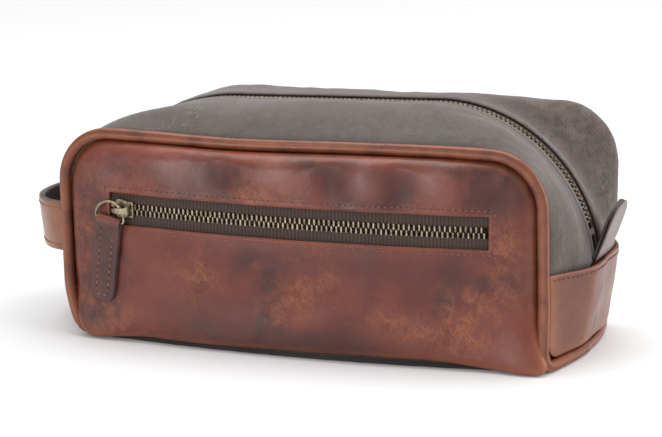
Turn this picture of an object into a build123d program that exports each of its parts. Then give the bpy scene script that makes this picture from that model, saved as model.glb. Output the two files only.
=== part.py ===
from build123d import *
import math
import os

# A leather and waxed-canvas toiletry bag. +X runs along the bag towards the end with the
# stitched grab tab, -Y is the front with the zip pocket, +Z is up.
# The origin is the centre of the base, on the face that the bag stands on.

# ---------------------------------------------------------------- driving dimensions (mm)
SEAM_LENGTH = 256.0      # over the piping, end to end
SEAM_HEIGHT = 107.0      # base to the top of the front piping
SEAM_Y = 46.0            # front and back seam planes, either side of the middle
SEAM_TOP_RADIUS = 28.0   # top corners of the front and back outlines
PIPING_RADIUS = 2.75
PIPING_CORD_RADIUS = 1.65
PIPING_BASE_BEND = 12.0  # bend where the piping turns in along the base's short edges
PIPING_JOINT_Y = -6.0    # where the two ends of the piping meet
PIPING_JOINT_GAP = 0.4

LEATHER = 1.8
CANVAS = 1.2
TAPE = 0.8
LINING = 0.5
GAP = 0.15               # air left between layers that lie on each other

FRONT_BULGE_Y = -60.0    # foremost point of the front panel
BACK_BULGE_Y = 57.5      # rearmost point of the back panel
PANEL_PLAN_RADIUS = 700.0
PANEL_RISE_RADIUS = 314.0
PANEL_MID_HEIGHT = 56.0
PANEL_BOTTOM = 4.2
PANEL_TOP = 101.3
PANEL_HALF_LENGTH = 122.3
PANEL_BOTTOM_ROUND = 8.0
PANEL_TOP_ROUND = 6.0

ZIP_PITCH = 2.5          # size 5 metal zip: teeth per side
TOOTH_LENGTH = 1.1
TOOTH_HEIGHT = 2.2
TOOTH_INNER = 0.35       # from the chain's middle line to the tooth's head
TOOTH_OUTER = 2.75
TAPE_HALF_WIDTH = 15.0

POCKET_ZIP_HEIGHT = 68.0
POCKET_WINDOW_LEFT = -98.0
POCKET_WINDOW_RIGHT = 100.5
POCKET_WINDOW_HALF_HEIGHT = 8.0
POCKET_SLIDER_X = -89.0
POCKET_DEPTH = 8.0

CROWN_LEFT = (-50.0, 27.0, 90.0)    # x, z and radius of the left shoulder at the zip
CROWN_RIGHT = (58.0, 40.0, 80.0)    # the same for the right shoulder
MAIN_ZIP_END = 62.0                 # height at which the main zip's chain stops at each end
END_PANEL_TOP = 47.0
END_PANEL_BULGE_RIGHT = 142.8
END_PANEL_BULGE_LEFT = 140.3
END_BASE_BULGE = 131.0
END_FACET_Y = 17.0

PULL_TAB_WIDTH = 13.6
PULL_TAB_LENGTH = 43.0
PULL_TAB_THICK = 2.6
PULL_RING_RADIUS = 8.2
PULL_WIRE_RADIUS = 0.75
PULL_EYE_RADIUS = 0.83
PULL_RING_LIFT = 5.0     # wire's height above the chain's middle plane
POCKET_PULL_TILT = 10.0  # how far the hanging pull leans to the left
POCKET_PULL_LEAN = 2.5   # and in towards the leather

GRAB_TAB_WIDTH = 24.0
GRAB_TAB_LENGTH = 29.0
GRAB_TAB_LEAN = 21.0
GRAB_TAB_PIVOT = (139.5, 48.7)

HANDLE_CENTRE_X = -113.3
HANDLE_RADIUS = 46.7
HANDLE_WIDTH = 25.0
HANDLE_MID_HEIGHT = 54.0
HANDLE_DROOP = 8.0
HANDLE_LEATHER = 1.9
HANDLE_LINING = 1.3

PIPE_X = SEAM_LENGTH / 2 - PIPING_RADIUS
PIPE_TOP = SEAM_HEIGHT - PIPING_RADIUS
PIPE_BASE = PIPING_RADIUS
GUSSET_EDGE_Y = SEAM_Y - PIPING_RADIUS - GAP
FRONT_AXIS_Y = FRONT_BULGE_Y + PANEL_PLAN_RADIUS
BACK_AXIS_Y = BACK_BULGE_Y - PANEL_PLAN_RADIUS

os.makedirs("parts", exist_ok=True)


def save(name, shape):
    """Write one sub-part, as a single solid or as a group of separate solids."""
    solids = list(shape.solids())
    shape = solids[0] if len(solids) == 1 else Compound(children=solids)
    export_step(shape, f"parts/{name}.step")


def slab(x0, x1, y0, y1, z0, z1):
    """A plain block between two corners."""
    block = Box(x1 - x0, y1 - y0, z1 - z0)
    return Pos((x0 + x1) / 2, (y0 + y1) / 2, (z0 + z1) / 2) * block


def tube_loop(radius_out, radius_in):
    """The closed tube along the seam: front, left base edge, back and right base edge."""
    corner = SEAM_TOP_RADIUS - PIPING_RADIUS
    corners = []
    radii = []
    for x, y in ((PIPE_X, -SEAM_Y), (-PIPE_X, -SEAM_Y), (-PIPE_X, SEAM_Y), (PIPE_X, SEAM_Y)):
        low = (x, y, PIPE_BASE)
        high = (x, y, PIPE_TOP)
        starts_low = x * y < 0
        corners += [low, high] if starts_low else [high, low]
        radii += [PIPING_BASE_BEND, corner] if starts_low else [corner, PIPING_BASE_BEND]
    path = FilletPolyline(*corners, radius=radii, close=True)
    pieces = []
    for edge in path.edges():
        ring = Plane(origin=edge @ 0, z_dir=edge % 0) * Circle(radius_out)
        if radius_in > 0:
            ring -= Plane(origin=edge @ 0, z_dir=edge % 0) * Circle(radius_in)
        pieces.append(sweep(ring, path=edge))
    loop = pieces[0]
    for piece in pieces[1:]:
        loop += piece
    return loop


# ---------------------------------------------------------------- front and back panels
def panel_radius(height, inset):
    """Distance from the panel's vertical axis to its surface at a height, inset inwards."""
    rise = PANEL_RISE_RADIUS - inset
    drop = height - PANEL_MID_HEIGHT
    return PANEL_PLAN_RADIUS - PANEL_RISE_RADIUS + math.sqrt(rise ** 2 - drop ** 2)


def panel_layer(inset_out, inset_in, low, high, half_angle, axis_y, mirrored):
    """A thin sheet that follows the bulged panel between two heights."""
    def arc(inset):
        points = []
        for height in (low, (low + high) / 2, high):
            points.append((0, -panel_radius(height, inset), height))
        return ThreePointArc(*points)
    outer = arc(inset_out)
    inner = arc(inset_in)
    outline = Wire([outer.edge(), Line(outer @ 1, inner @ 1).edge(), inner.edge(),
                    Line(inner @ 0, outer @ 0).edge()])
    return swing(Face(outline), half_angle, axis_y, mirrored)


def swing(face, half_angle, axis_y, mirrored):
    """Turn a face in the YZ plane about the panel's vertical axis, to both sides."""
    face = Rot(0, 0, -half_angle) * face
    sheet = revolve(face, Axis.Z, 2 * half_angle)
    if mirrored:
        sheet = Rot(0, 0, 180) * sheet
    return Pos(0, axis_y, 0) * sheet


def panel_block(inset, axis_y, mirrored):
    """The solid pillow that a panel's skin wraps, with rounded top and bottom edges."""
    low = PANEL_BOTTOM + inset
    high = PANEL_TOP - inset
    low_round = PANEL_BOTTOM_ROUND - inset
    high_round = PANEL_TOP_ROUND - inset
    back = PANEL_PLAN_RADIUS - 45.0
    start = low + low_round
    end = high - high_round
    middle = (start + end) / 2
    front_low = -panel_radius(start, inset)
    front_high = -panel_radius(end, inset)
    slant = math.sqrt(0.5)
    low_mid = (0, front_low + low_round * (1 - slant), low + low_round * (1 - slant))
    high_mid = (0, front_high + high_round * (1 - slant), high - high_round * (1 - slant))
    outline = Wire([
        Line((0, -back, low), (0, front_low + low_round, low)).edge(),
        ThreePointArc((0, front_low + low_round, low), low_mid, (0, front_low, start)).edge(),
        ThreePointArc((0, front_low, start), (0, -panel_radius(middle, inset), middle),
                      (0, front_high, end)).edge(),
        ThreePointArc((0, front_high, end), high_mid, (0, front_high + high_round, high)).edge(),
        Line((0, front_high + high_round, high), (0, -back, high)).edge(),
        Line((0, -back, high), (0, -back, low)).edge(),
    ])
    return swing(Face(outline), 12.0, axis_y, mirrored)


def panel_prism(inset, y0, y1):
    """The panel's front outline, pushed along Y: square bottom corners, round top corners."""
    half = PANEL_HALF_LENGTH - inset
    top = PANEL_TOP - inset
    radius = SEAM_TOP_RADIUS - 2 * PIPING_RADIUS - inset
    bend = radius * (1 - math.sqrt(0.5))
    outline = Wire([
        Line((half, y0, 0), (half, y0, top - radius)).edge(),
        ThreePointArc((half, y0, top - radius), (half - bend, y0, top - bend),
                      (half - radius, y0, top)).edge(),
        Line((half - radius, y0, top), (radius - half, y0, top)).edge(),
        ThreePointArc((radius - half, y0, top), (bend - half, y0, top - bend),
                      (-half, y0, top - radius)).edge(),
        Line((-half, y0, top - radius), (-half, y0, 0)).edge(),
        Line((-half, y0, 0), (half, y0, 0)).edge(),
    ])
    return extrude(Face(outline), y1 - y0, dir=(0, 1, 0))


def panel_skin(axis_y, mirrored):
    """One leather panel: a bulged face with its edges turned in to the seam."""
    rim = GUSSET_EDGE_Y
    if mirrored:
        outer = panel_block(0, axis_y, True) & panel_prism(0, rim, 80)
        inner = panel_block(LEATHER, axis_y, True) & panel_prism(LEATHER, rim - 5, 80)
    else:
        outer = panel_block(0, axis_y, False) & panel_prism(0, -80, -rim)
        inner = panel_block(LEATHER, axis_y, False) & panel_prism(LEATHER, -80, 5 - rim)
    return outer - inner


front_panel = panel_skin(FRONT_AXIS_Y, False)
window_low = POCKET_ZIP_HEIGHT - POCKET_WINDOW_HALF_HEIGHT
window_high = POCKET_ZIP_HEIGHT + POCKET_WINDOW_HALF_HEIGHT
window = slab(POCKET_WINDOW_LEFT, POCKET_WINDOW_RIGHT, -70, -45, window_low, window_high)
window = fillet(window.edges().filter_by(Axis.Y), 1.0)
front_panel -= window
back_panel = panel_skin(BACK_AXIS_Y, True)
save("front_panel", front_panel)
save("back_panel", back_panel)


# ---------------------------------------------------------------- base
def base_outline(front_inset, back_inset, half_length):
    """Plan outline of the base: straight short edges, long edges bowed like the panels."""
    front_radius = PANEL_PLAN_RADIUS - front_inset
    back_radius = PANEL_PLAN_RADIUS - back_inset
    front_end = FRONT_AXIS_Y - math.sqrt(front_radius ** 2 - half_length ** 2)
    back_end = BACK_AXIS_Y + math.sqrt(back_radius ** 2 - half_length ** 2)
    return Face(Wire([
        ThreePointArc((-half_length, front_end, 0), (0, FRONT_AXIS_Y - front_radius, 0),
                      (half_length, front_end, 0)).edge(),
        Line((half_length, front_end, 0), (half_length, back_end, 0)).edge(),
        ThreePointArc((half_length, back_end, 0), (0, BACK_AXIS_Y + back_radius, 0),
                      (-half_length, back_end, 0)).edge(),
        Line((-half_length, back_end, 0), (-half_length, front_end, 0)).edge(),
    ]))


BASE_INSET = 10.0
BASE_HEM = 2.4
BASE_HEM_HEIGHT = 3.9
BASE_BOARD = 1.6
base_panel = extrude(base_outline(BASE_INSET, BASE_INSET, PANEL_HALF_LENGTH), BASE_HEM_HEIGHT, dir=(0, 0, 1))
hollow = base_outline(BASE_INSET + BASE_HEM, BASE_INSET + BASE_HEM, PANEL_HALF_LENGTH + 1)
base_panel -= Pos(0, 0, CANVAS) * extrude(hollow, 10, dir=(0, 0, 1))
save("base_panel", base_panel)
board = base_outline(BASE_INSET + BASE_HEM + 1, BASE_INSET + BASE_HEM + 1, PANEL_HALF_LENGTH - 3)
save("base_board", Pos(0, 0, CANVAS + 0.05) * extrude(board, BASE_BOARD, dir=(0, 0, 1)))


# ---------------------------------------------------------------- piping
cover = tube_loop(PIPING_RADIUS, PIPING_CORD_RADIUS + 0.02)
joint_gap = slab(PIPE_X - 4, PIPE_X + 4, PIPING_JOINT_Y, PIPING_JOINT_Y + PIPING_JOINT_GAP, -1, 7)
save("piping_cover", cover - joint_gap)
save("piping_cord", tube_loop(PIPING_CORD_RADIUS, 0) - joint_gap)


# ---------------------------------------------------------------- arched gusset
def arch(section, inset, foot, y):
    """Closed outline of the arch at one depth: foot, shoulder, crown, shoulder, foot."""
    (left_x, left_z, left_r), (right_x, right_z, right_r), half_foot = section
    left_r -= inset
    right_r -= inset
    tilt = math.asin(((right_z + right_r) - (left_z + left_r)) / (right_x - left_x))

    def on_arc(x, z, radius, angle):
        return (x + radius * math.cos(angle), y, z + radius * math.sin(angle))

    left_start = math.pi - math.asin((max(left_z, END_PANEL_TOP + 1) - left_z) / left_r)
    right_end = math.asin((max(right_z, END_PANEL_TOP + 1) - right_z) / right_r)
    top = math.pi / 2 + tilt
    p0 = on_arc(left_x, left_z, left_r, left_start)
    p1 = on_arc(left_x, left_z, left_r, (left_start + top) / 2)
    p2 = on_arc(left_x, left_z, left_r, top)
    p3 = on_arc(right_x, right_z, right_r, top)
    p4 = on_arc(right_x, right_z, right_r, (right_end + top) / 2)
    p5 = on_arc(right_x, right_z, right_r, right_end)
    left_foot = (inset - half_foot, y, foot)
    right_foot = (half_foot - inset, y, foot)
    return Wire([
        Line(left_foot, p0).edge(),
        ThreePointArc(p0, p1, p2).edge(),
        Line(p2, p3).edge(),
        ThreePointArc(p3, p4, p5).edge(),
        Line(p5, right_foot).edge(),
        Line(right_foot, left_foot).edge(),
    ])


GUSSET_FOOT = 40.0
CROWN = (CROWN_LEFT, CROWN_RIGHT, 134.5)
SHOULDER = ((-72.8, 53.5, 60.0), (77.8, 59.0, 55.0), 132.6)
EDGE = ((-98.0, 77.0, 28.0), (98.0, 77.0, 28.0), 126.0)
CANVAS_ZIP_EDGE = 5.3
CROWN_FLAT_Y = 16.0
SHOULDER_Y = 28.0


def with_foot(section, half_foot):
    """The same arch with its feet set at another half length."""
    return (section[0], section[1], half_foot)


def arch_solid(sections, inset, foot):
    """A solid filled under the arch, straight between its sections along the depth."""
    wires = [arch(section, inset, foot, y) for section, y in sections]
    return Solid.make_loft(wires, ruled=True)


def arch_shell(side, inset, thickness, start_y, foot, feet):
    """Half of the arched gusset, from beside the zip to the seam, on one side of the middle."""
    crown, shoulder, edge = (with_foot(s, f) for s, f in zip((CROWN, SHOULDER, EDGE), feet))
    stations = [(crown, start_y), (crown, CROWN_FLAT_Y), (shoulder, SHOULDER_Y)]
    outer = stations + [(edge, GUSSET_EDGE_Y)]
    inner = [(crown, start_y - 1)] + stations[1:] + [(edge, GUSSET_EDGE_Y), (edge, GUSSET_EDGE_Y + 1)]
    outer = [(section, side * y) for section, y in outer]
    inner = [(section, side * y) for section, y in inner]
    return arch_solid(outer, inset, foot) - arch_solid(inner, inset + thickness, foot - 3)


canvas_feet = (134.5, 130.0, 125.9)
save("gusset_front", arch_shell(-1, 0, CANVAS, CANVAS_ZIP_EDGE, GUSSET_FOOT, canvas_feet))
save("gusset_rear", arch_shell(1, 0, CANVAS, CANVAS_ZIP_EDGE, GUSSET_FOOT, canvas_feet))


# ---------------------------------------------------------------- end panels
def end_section(height, bulge, inset, seam_x):
    """Plan outline of an end panel's outer face: folded out between the seams."""
    edge = GUSSET_EDGE_Y + 2
    slope = (bulge - seam_x) / (GUSSET_EDGE_Y - END_FACET_Y)
    far = seam_x - 2 * slope
    points = [(90, -edge, height), (far - inset, -edge, height), (bulge - inset, -END_FACET_Y, height),
              (bulge - inset, END_FACET_Y, height), (far - inset, edge, height), (90, edge, height)]
    return Wire.make_polygon(points, close=True)


def end_block(bulge, inset, low, high):
    """The solid that an end panel's outer face encloses."""
    seam_x = SEAM_LENGTH / 2 - 0.1
    rise = (bulge - END_BASE_BULGE) / (END_PANEL_TOP - PIPING_BASE_BEND / 2)
    low_bulge = bulge - rise * (END_PANEL_TOP - low)
    high_bulge = bulge + rise * (high - END_PANEL_TOP)
    wires = [end_section(low, low_bulge, inset, seam_x), end_section(high, high_bulge, inset, seam_x)]
    return Solid.make_loft(wires, ruled=True)


def end_panel(bulge):
    """One leather end panel, on the +X end."""
    low = 2 * PIPING_RADIUS + GAP
    shell = end_block(bulge, 0, low, END_PANEL_TOP) - end_block(bulge, LEATHER, low - 1, END_PANEL_TOP + 1)
    edge = GUSSET_EDGE_Y
    outline = Plane.YZ * Pos(0, (low + 60) / 2) * Rectangle(2 * edge, 60 - low)
    corners = outline.vertices().group_by(Axis.Z)[0]
    outline = fillet(corners, PIPING_BASE_BEND - PIPING_RADIUS - GAP)
    return shell & Pos(100, 0, 0) * extrude(outline, 60, dir=(1, 0, 0))


end_panel_right = end_panel(END_PANEL_BULGE_RIGHT)
end_panel_left = mirror(end_panel(END_PANEL_BULGE_LEFT), Plane.YZ)
save("end_panel_right", end_panel_right)
save("end_panel_left", end_panel_left)


# ---------------------------------------------------------------- main zip
ZIP_INSET = CANVAS + GAP + TAPE / 2     # from the canvas face to the chain's middle plane


TAPE_FOOT = 46.5


def crown_tape(y0, y1):
    """One side of the zip's tape: a strip under the canvas that follows the arch."""
    section = with_foot(CROWN, 137.4)
    inset = CANVAS + GAP
    outer = arch_solid([(section, y0), (section, y1)], inset, TAPE_FOOT)
    inner = arch_solid([(section, y0 - 1), (section, y1 + 1)], inset + TAPE, TAPE_FOOT - 0.1)
    return outer - inner


save("main_zip_tape_front", crown_tape(-TAPE_HALF_WIDTH, -TOOTH_OUTER))
save("main_zip_tape_rear", crown_tape(TOOTH_OUTER, TAPE_HALF_WIDTH))


def chain_frame(distance):
    """Where the main zip's chain is, a distance along it: origin, tangent and outward normal."""
    left_x, left_z, left_r = CROWN_LEFT
    right_x, right_z, right_r = CROWN_RIGHT
    left_r -= ZIP_INSET
    right_r -= ZIP_INSET
    tilt = math.asin(((right_z + right_r) - (left_z + left_r)) / (right_x - left_x))
    start = math.pi - math.asin((MAIN_ZIP_END - left_z) / left_r)
    top = math.pi / 2 + tilt
    left_arc = left_r * (start - top)
    line = (right_x - left_x) * math.cos(tilt)
    if distance < left_arc:
        angle = start - distance / left_r
        origin = (left_x + left_r * math.cos(angle), 0, left_z + left_r * math.sin(angle))
    elif distance < left_arc + line:
        angle = top
        along = distance - left_arc
        origin = (left_x + left_r * math.cos(top) + along * math.cos(tilt), 0,
                  left_z + left_r * math.sin(top) + along * math.sin(tilt))
    else:
        angle = top - (distance - left_arc - line) / right_r
        origin = (right_x + right_r * math.cos(angle), 0, right_z + right_r * math.sin(angle))
    normal = (math.cos(angle), 0, math.sin(angle))
    tangent = (math.sin(angle), 0, -math.cos(angle))
    return Plane(origin=origin, x_dir=tangent, z_dir=normal)


def chain_length():
    """Length of the main zip's chain, from one end to the other."""
    steps = 0
    while chain_frame(steps * 0.5).origin.Z > MAIN_ZIP_END - 0.2 or steps < 20:
        steps += 1
    return steps * 0.5


def tooth(side):
    """One tooth about the chain's middle: X along the chain, Y across it, Z outwards."""
    length = TOOTH_OUTER - TOOTH_INNER
    return Pos(0, side * (TOOTH_INNER + length / 2), 0) * Box(TOOTH_LENGTH, length, TOOTH_HEIGHT)


def teeth_row(frames, side):
    """A row of separate teeth, one on each frame."""
    return Compound(children=[frame.location * tooth(side) for frame in frames])


main_length = chain_length()
count = int(main_length / ZIP_PITCH)
save("main_teeth_front", teeth_row([chain_frame((i + 0.5) * ZIP_PITCH) for i in range(count)], -1))
save("main_teeth_rear", teeth_row([chain_frame((i + 1) * ZIP_PITCH) for i in range(count - 1)], 1))


def stop(side):
    """A folded metal stop at the end of one row."""
    return Pos(0, side * 1.6, 0) * Box(3.0, 2.2, TOOTH_HEIGHT)


STOP_SETBACK = 2.4
low_stop = chain_frame(-STOP_SETBACK)
high_stop = chain_frame(main_length + STOP_SETBACK)
save("main_zip_stops", Compound(children=[
    low_stop.location * stop(-1), low_stop.location * stop(1),
    high_stop.location * Box(3.0, 5.0, TOOTH_HEIGHT)]))


# ---------------------------------------------------------------- sliders and pulls
SLIDER_LENGTH = 10.4
SLIDER_NOSE_HALF = 4.9
SLIDER_TAIL_HALF = 4.0
SLIDER_PLATE_IN = 1.5
SLIDER_PLATE_OUT = 2.4
SLIDER_LIP = 0.75
SLIDER_LIP_Y = 3.3
BRIDGE_HALF = 3.9
BRIDGE_WIDTH = 3.0
BRIDGE_IN = 6.2
BRIDGE_OUT = 7.05
BRIDGE_LEG = 0.8


def slider():
    """Slider about the chain: X the way it opens, Z outwards."""
    half = SLIDER_LENGTH / 2
    nose, tail = SLIDER_NOSE_HALF, SLIDER_TAIL_HALF
    outline = make_face(Polyline((-half, -nose + 1.6), (-half + 1.4, -nose), (-1, -nose), (1.5, -tail), (half, -tail),
                                 (half, tail), (1.5, tail), (-1, nose), (-half + 1.4, nose), (-half, nose - 1.6),
                                 close=True))
    plate = extrude(outline, SLIDER_PLATE_OUT - SLIDER_PLATE_IN)
    body = Pos(0, 0, SLIDER_PLATE_IN) * plate + Pos(0, 0, -SLIDER_PLATE_OUT) * plate
    for side in (-1, 1):
        low, high = sorted((side * SLIDER_LIP_Y, side * SLIDER_TAIL_HALF))
        body += slab(-1, half, low, high, SLIDER_LIP, SLIDER_PLATE_IN + 0.1)
        body += slab(-1, half, low, high, -SLIDER_PLATE_IN - 0.1, -SLIDER_LIP)
    body += slab(-half + 0.6, -half + 3.6, -0.15, 0.15, -SLIDER_PLATE_OUT + 0.1, SLIDER_PLATE_OUT - 0.1)
    bridge = slab(-BRIDGE_HALF, BRIDGE_HALF, -BRIDGE_WIDTH / 2, BRIDGE_WIDTH / 2, SLIDER_PLATE_IN + 0.2, BRIDGE_OUT)
    bridge -= slab(BRIDGE_LEG - BRIDGE_HALF, BRIDGE_HALF - BRIDGE_LEG, -5, 5, 0, BRIDGE_IN)
    bridge = fillet(bridge.edges().filter_by(Axis.Y).group_by(Axis.Z)[-1], 0.7)
    return body + bridge


def pull_ring():
    """D-shaped wire in the XY plane: its arc above, its straight bar along X through the origin."""
    bend = 1.4
    radius = PULL_RING_RADIUS
    path = Wire([
        Line((bend - radius, 0), (radius - bend, 0)).edge(),
        ThreePointArc((radius - bend, 0), (radius - bend + bend * math.sqrt(0.5), bend - bend * math.sqrt(0.5)),
                      (radius, bend)).edge(),
        ThreePointArc((radius, bend), (0, radius + bend), (-radius, bend)).edge(),
        ThreePointArc((-radius, bend), (bend - radius - bend * math.sqrt(0.5), bend - bend * math.sqrt(0.5)),
                      (bend - radius, 0)).edge(),
    ])
    ring = None
    for edge in path.edges():
        piece = sweep(Plane(origin=edge @ 0, z_dir=edge % 0) * Circle(PULL_WIRE_RADIUS), path=edge)
        ring = piece if ring is None else ring + piece
    return ring


RING_CREST = PULL_RING_RADIUS + 1.4     # top of the wire's middle line above the bar


def pull_tab():
    """Doubled leather tab folded round the ring's bar, hanging towards -Y, Z outwards."""
    half = PULL_TAB_WIDTH / 2
    fold = PULL_EYE_RADIUS + 1.2
    plate = slab(-half, half, -PULL_TAB_LENGTH, 0, -PULL_TAB_THICK / 2, PULL_TAB_THICK / 2)
    plate = fillet(plate.edges().filter_by(Axis.Z).group_by(Axis.Y)[0], 5.5)
    roll = Rot(0, 90, 0) * Cylinder(fold, PULL_TAB_WIDTH)
    eye = Rot(0, 90, 0) * Cylinder(PULL_EYE_RADIUS, PULL_TAB_WIDTH + 2)
    return plate + roll - eye


# Main zip: the slider waits at the -X end, its pull leaning out over the end panel.
MAIN_SLIDER_DISTANCE = 2.0
MAIN_RING_LEAN = 55.0
MAIN_TAB_LEAN = 6.0


def hanging(origin, lean_degrees):
    """Frame of a piece hanging from a bar along Y: its own Y up, Z outwards to -X."""
    lean = math.radians(lean_degrees)
    return Plane(origin=origin, x_dir=(0, -1, 0), z_dir=(-math.cos(lean), 0, math.sin(lean)))


main_frame = chain_frame(MAIN_SLIDER_DISTANCE)
save("main_slider", main_frame.location * slider())
crossing = main_frame.origin + main_frame.z_dir * PULL_RING_LIFT
bar = crossing - hanging(crossing, MAIN_RING_LEAN).y_dir * RING_CREST
save("main_pull_ring", hanging(bar, MAIN_RING_LEAN).location * pull_ring())
save("main_pull_tab", hanging(bar, MAIN_TAB_LEAN).location * pull_tab())


# ---------------------------------------------------------------- pocket zip on the front
CHAIN_INSET = LEATHER + GAP + TAPE / 2


def pocket_frame(x):
    """Where the pocket zip's chain is at a distance along the bag."""
    radius = panel_radius(POCKET_ZIP_HEIGHT, CHAIN_INSET)
    angle = math.asin(x / radius)
    origin = (x, FRONT_AXIS_Y - radius * math.cos(angle), POCKET_ZIP_HEIGHT)
    normal = (math.sin(angle), -math.cos(angle), 0)
    tangent = (math.cos(angle), math.sin(angle), 0)
    return Plane(origin=origin, x_dir=tangent, z_dir=normal)


POCKET_HALF_ANGLE = math.degrees(math.asin(108.0 / PANEL_PLAN_RADIUS))
tape_in = LEATHER + GAP
chain_low = POCKET_ZIP_HEIGHT - TOOTH_OUTER
chain_high = POCKET_ZIP_HEIGHT + TOOTH_OUTER
save("pocket_zip_tape_upper", panel_layer(tape_in, tape_in + TAPE, chain_high,
                                          POCKET_ZIP_HEIGHT + TAPE_HALF_WIDTH,
                                          POCKET_HALF_ANGLE, FRONT_AXIS_Y, False))
save("pocket_zip_tape_lower", panel_layer(tape_in, tape_in + TAPE, POCKET_ZIP_HEIGHT - TAPE_HALF_WIDTH,
                                          chain_low, POCKET_HALF_ANGLE, FRONT_AXIS_Y, False))
chain_start = POCKET_WINDOW_LEFT + 4.5
pocket_count = int((POCKET_WINDOW_RIGHT - chain_start) / ZIP_PITCH)
upper = [pocket_frame(chain_start + i * ZIP_PITCH) for i in range(pocket_count)]
lower = [pocket_frame(chain_start + (i + 0.5) * ZIP_PITCH) for i in range(pocket_count)]
save("pocket_teeth_upper", teeth_row(upper, 1))
save("pocket_teeth_lower", teeth_row(lower, -1))
left_stop = pocket_frame(chain_start - STOP_SETBACK)
right_stop = pocket_frame(chain_start + pocket_count * ZIP_PITCH + STOP_SETBACK)
save("pocket_zip_stops", Compound(children=[
    left_stop.location * stop(-1), left_stop.location * stop(1),
    right_stop.location * Pos(0, 0, -0.5) * Box(3.0, 5.0, TOOTH_HEIGHT - 0.6)]))

pocket_slider_frame = pocket_frame(POCKET_SLIDER_X)
save("pocket_slider", pocket_slider_frame.location * slider())
# The wire crosses under the bridge part of the way round its arc, so the ring hangs to one side.
RING_CROSSING_DEG = 40.0
crossing_angle = math.radians(RING_CROSSING_DEG)
ring_offset = (-PULL_RING_RADIUS * math.cos(crossing_angle),
               -1.4 - PULL_RING_RADIUS * math.sin(crossing_angle))
hang_plane = (pocket_slider_frame.location * Pos(0, 0, PULL_RING_LIFT) * Rot(0, 0, -POCKET_PULL_TILT)
              * Rot(POCKET_PULL_LEAN, 0, 0) * Pos(ring_offset[0], ring_offset[1], 0))
save("pocket_pull_ring", hang_plane * pull_ring())
save("pocket_pull_tab", hang_plane * pull_tab())


# Pocket pouch: a flat bag of lining, two pieces sewn together, with its mouth on the zip.
POUCH_LOW = 13.0
POUCH_HIGH = 86.0
pouch_angle = math.degrees(math.asin(106.0 / PANEL_PLAN_RADIUS))
pouch_out = tape_in + TAPE + GAP
pouch_in = pouch_out + POCKET_DEPTH + 2 * LINING
pouch_front = panel_layer(pouch_out, pouch_out + LINING, POUCH_LOW, POUCH_HIGH, pouch_angle, FRONT_AXIS_Y,
                          False)
mouth_angle = math.degrees(math.asin(105.0 / PANEL_PLAN_RADIUS))
pouch_front -= panel_layer(pouch_out - 1, pouch_out + LINING + 1, chain_low - 2.5, chain_high + 2.5,
                           mouth_angle, FRONT_AXIS_Y, False)
save("pocket_pouch_front", pouch_front)
pouch_rear = panel_layer(pouch_out + LINING, pouch_in, POUCH_LOW, POUCH_HIGH, pouch_angle, FRONT_AXIS_Y, False)
pouch_rear -= panel_layer(pouch_out, pouch_in - LINING, POUCH_LOW + LINING, POUCH_HIGH - LINING,
                          pouch_angle - 0.1, FRONT_AXIS_Y, False)
save("pocket_pouch_rear", pouch_rear)


# ---------------------------------------------------------------- bag lining
lining_out = pouch_in + GAP
LINING_LOW = 12.5
LINING_HIGH = 92.0
lining_angle = math.degrees(math.asin(112.0 / PANEL_PLAN_RADIUS))
back_out = LEATHER + GAP
save("lining_front", panel_layer(lining_out, lining_out + LINING, LINING_LOW, LINING_HIGH, lining_angle,
                                 FRONT_AXIS_Y, False))
save("lining_back", panel_layer(back_out, back_out + LINING, LINING_LOW, LINING_HIGH, lining_angle,
                                BACK_AXIS_Y, True))
base_lining = base_outline(BASE_INSET + 6, BASE_INSET + 6, PANEL_HALF_LENGTH - 4)
save("lining_base", Pos(0, 0, CANVAS + BASE_BOARD + 0.2) * extrude(base_lining, LINING, dir=(0, 0, 1)))
LINING_ZIP_EDGE = 9.0
LINING_FOOT = 6.0
lining_feet = (125.0, 123.5, 122.0)
for name, side in (("lining_gusset_front", -1), ("lining_gusset_rear", 1)):
    inset = CANVAS + TAPE + 2 * GAP
    save(name, arch_shell(side, inset, LINING, LINING_ZIP_EDGE, LINING_FOOT, lining_feet))


# ---------------------------------------------------------------- grab tab at the right end
def grab_plate(thickness, offset, low, high, round_tip):
    """One layer of the grab tab, upright, about its pivot: X outwards, Y across, Z along it."""
    half = GRAB_TAB_WIDTH / 2
    plate = slab(offset, offset + thickness, -half, half, low, high)
    if round_tip:
        plate = fillet(plate.edges().filter_by(Axis.X).group_by(Axis.Z)[-1], half - 1.5)
    return plate


GRAB_LAYER = 1.3
pivot = Pos(GRAB_TAB_PIVOT[0], 0, GRAB_TAB_PIVOT[1]) * Rot(0, GRAB_TAB_LEAN, 0)
root_round = Rot(90, 0, 0) * Cylinder(GRAB_LAYER, GRAB_TAB_WIDTH)
for name, offset in (("grab_tab_outer", 0), ("grab_tab_inner", -GRAB_LAYER)):
    layer = grab_plate(GRAB_LAYER, offset, 0, GRAB_TAB_LENGTH, True)
    half_round = root_round & slab(offset, offset + GRAB_LAYER, -20, 20, -5, 0)
    save(name, pivot * (layer + half_round))
GRAB_ROOT_DEPTH = 12.0
GRAB_ROOT_SLOPE = 16.0
root = slab(-GRAB_LAYER, GRAB_LAYER, -GRAB_TAB_WIDTH / 2, GRAB_TAB_WIDTH / 2, -GRAB_ROOT_DEPTH, 0)
save("grab_tab_root", Pos(GRAB_TAB_PIVOT[0] - 0.1, 0, END_PANEL_TOP - 0.4) * Rot(0, GRAB_ROOT_SLOPE, 0) * root)


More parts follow.
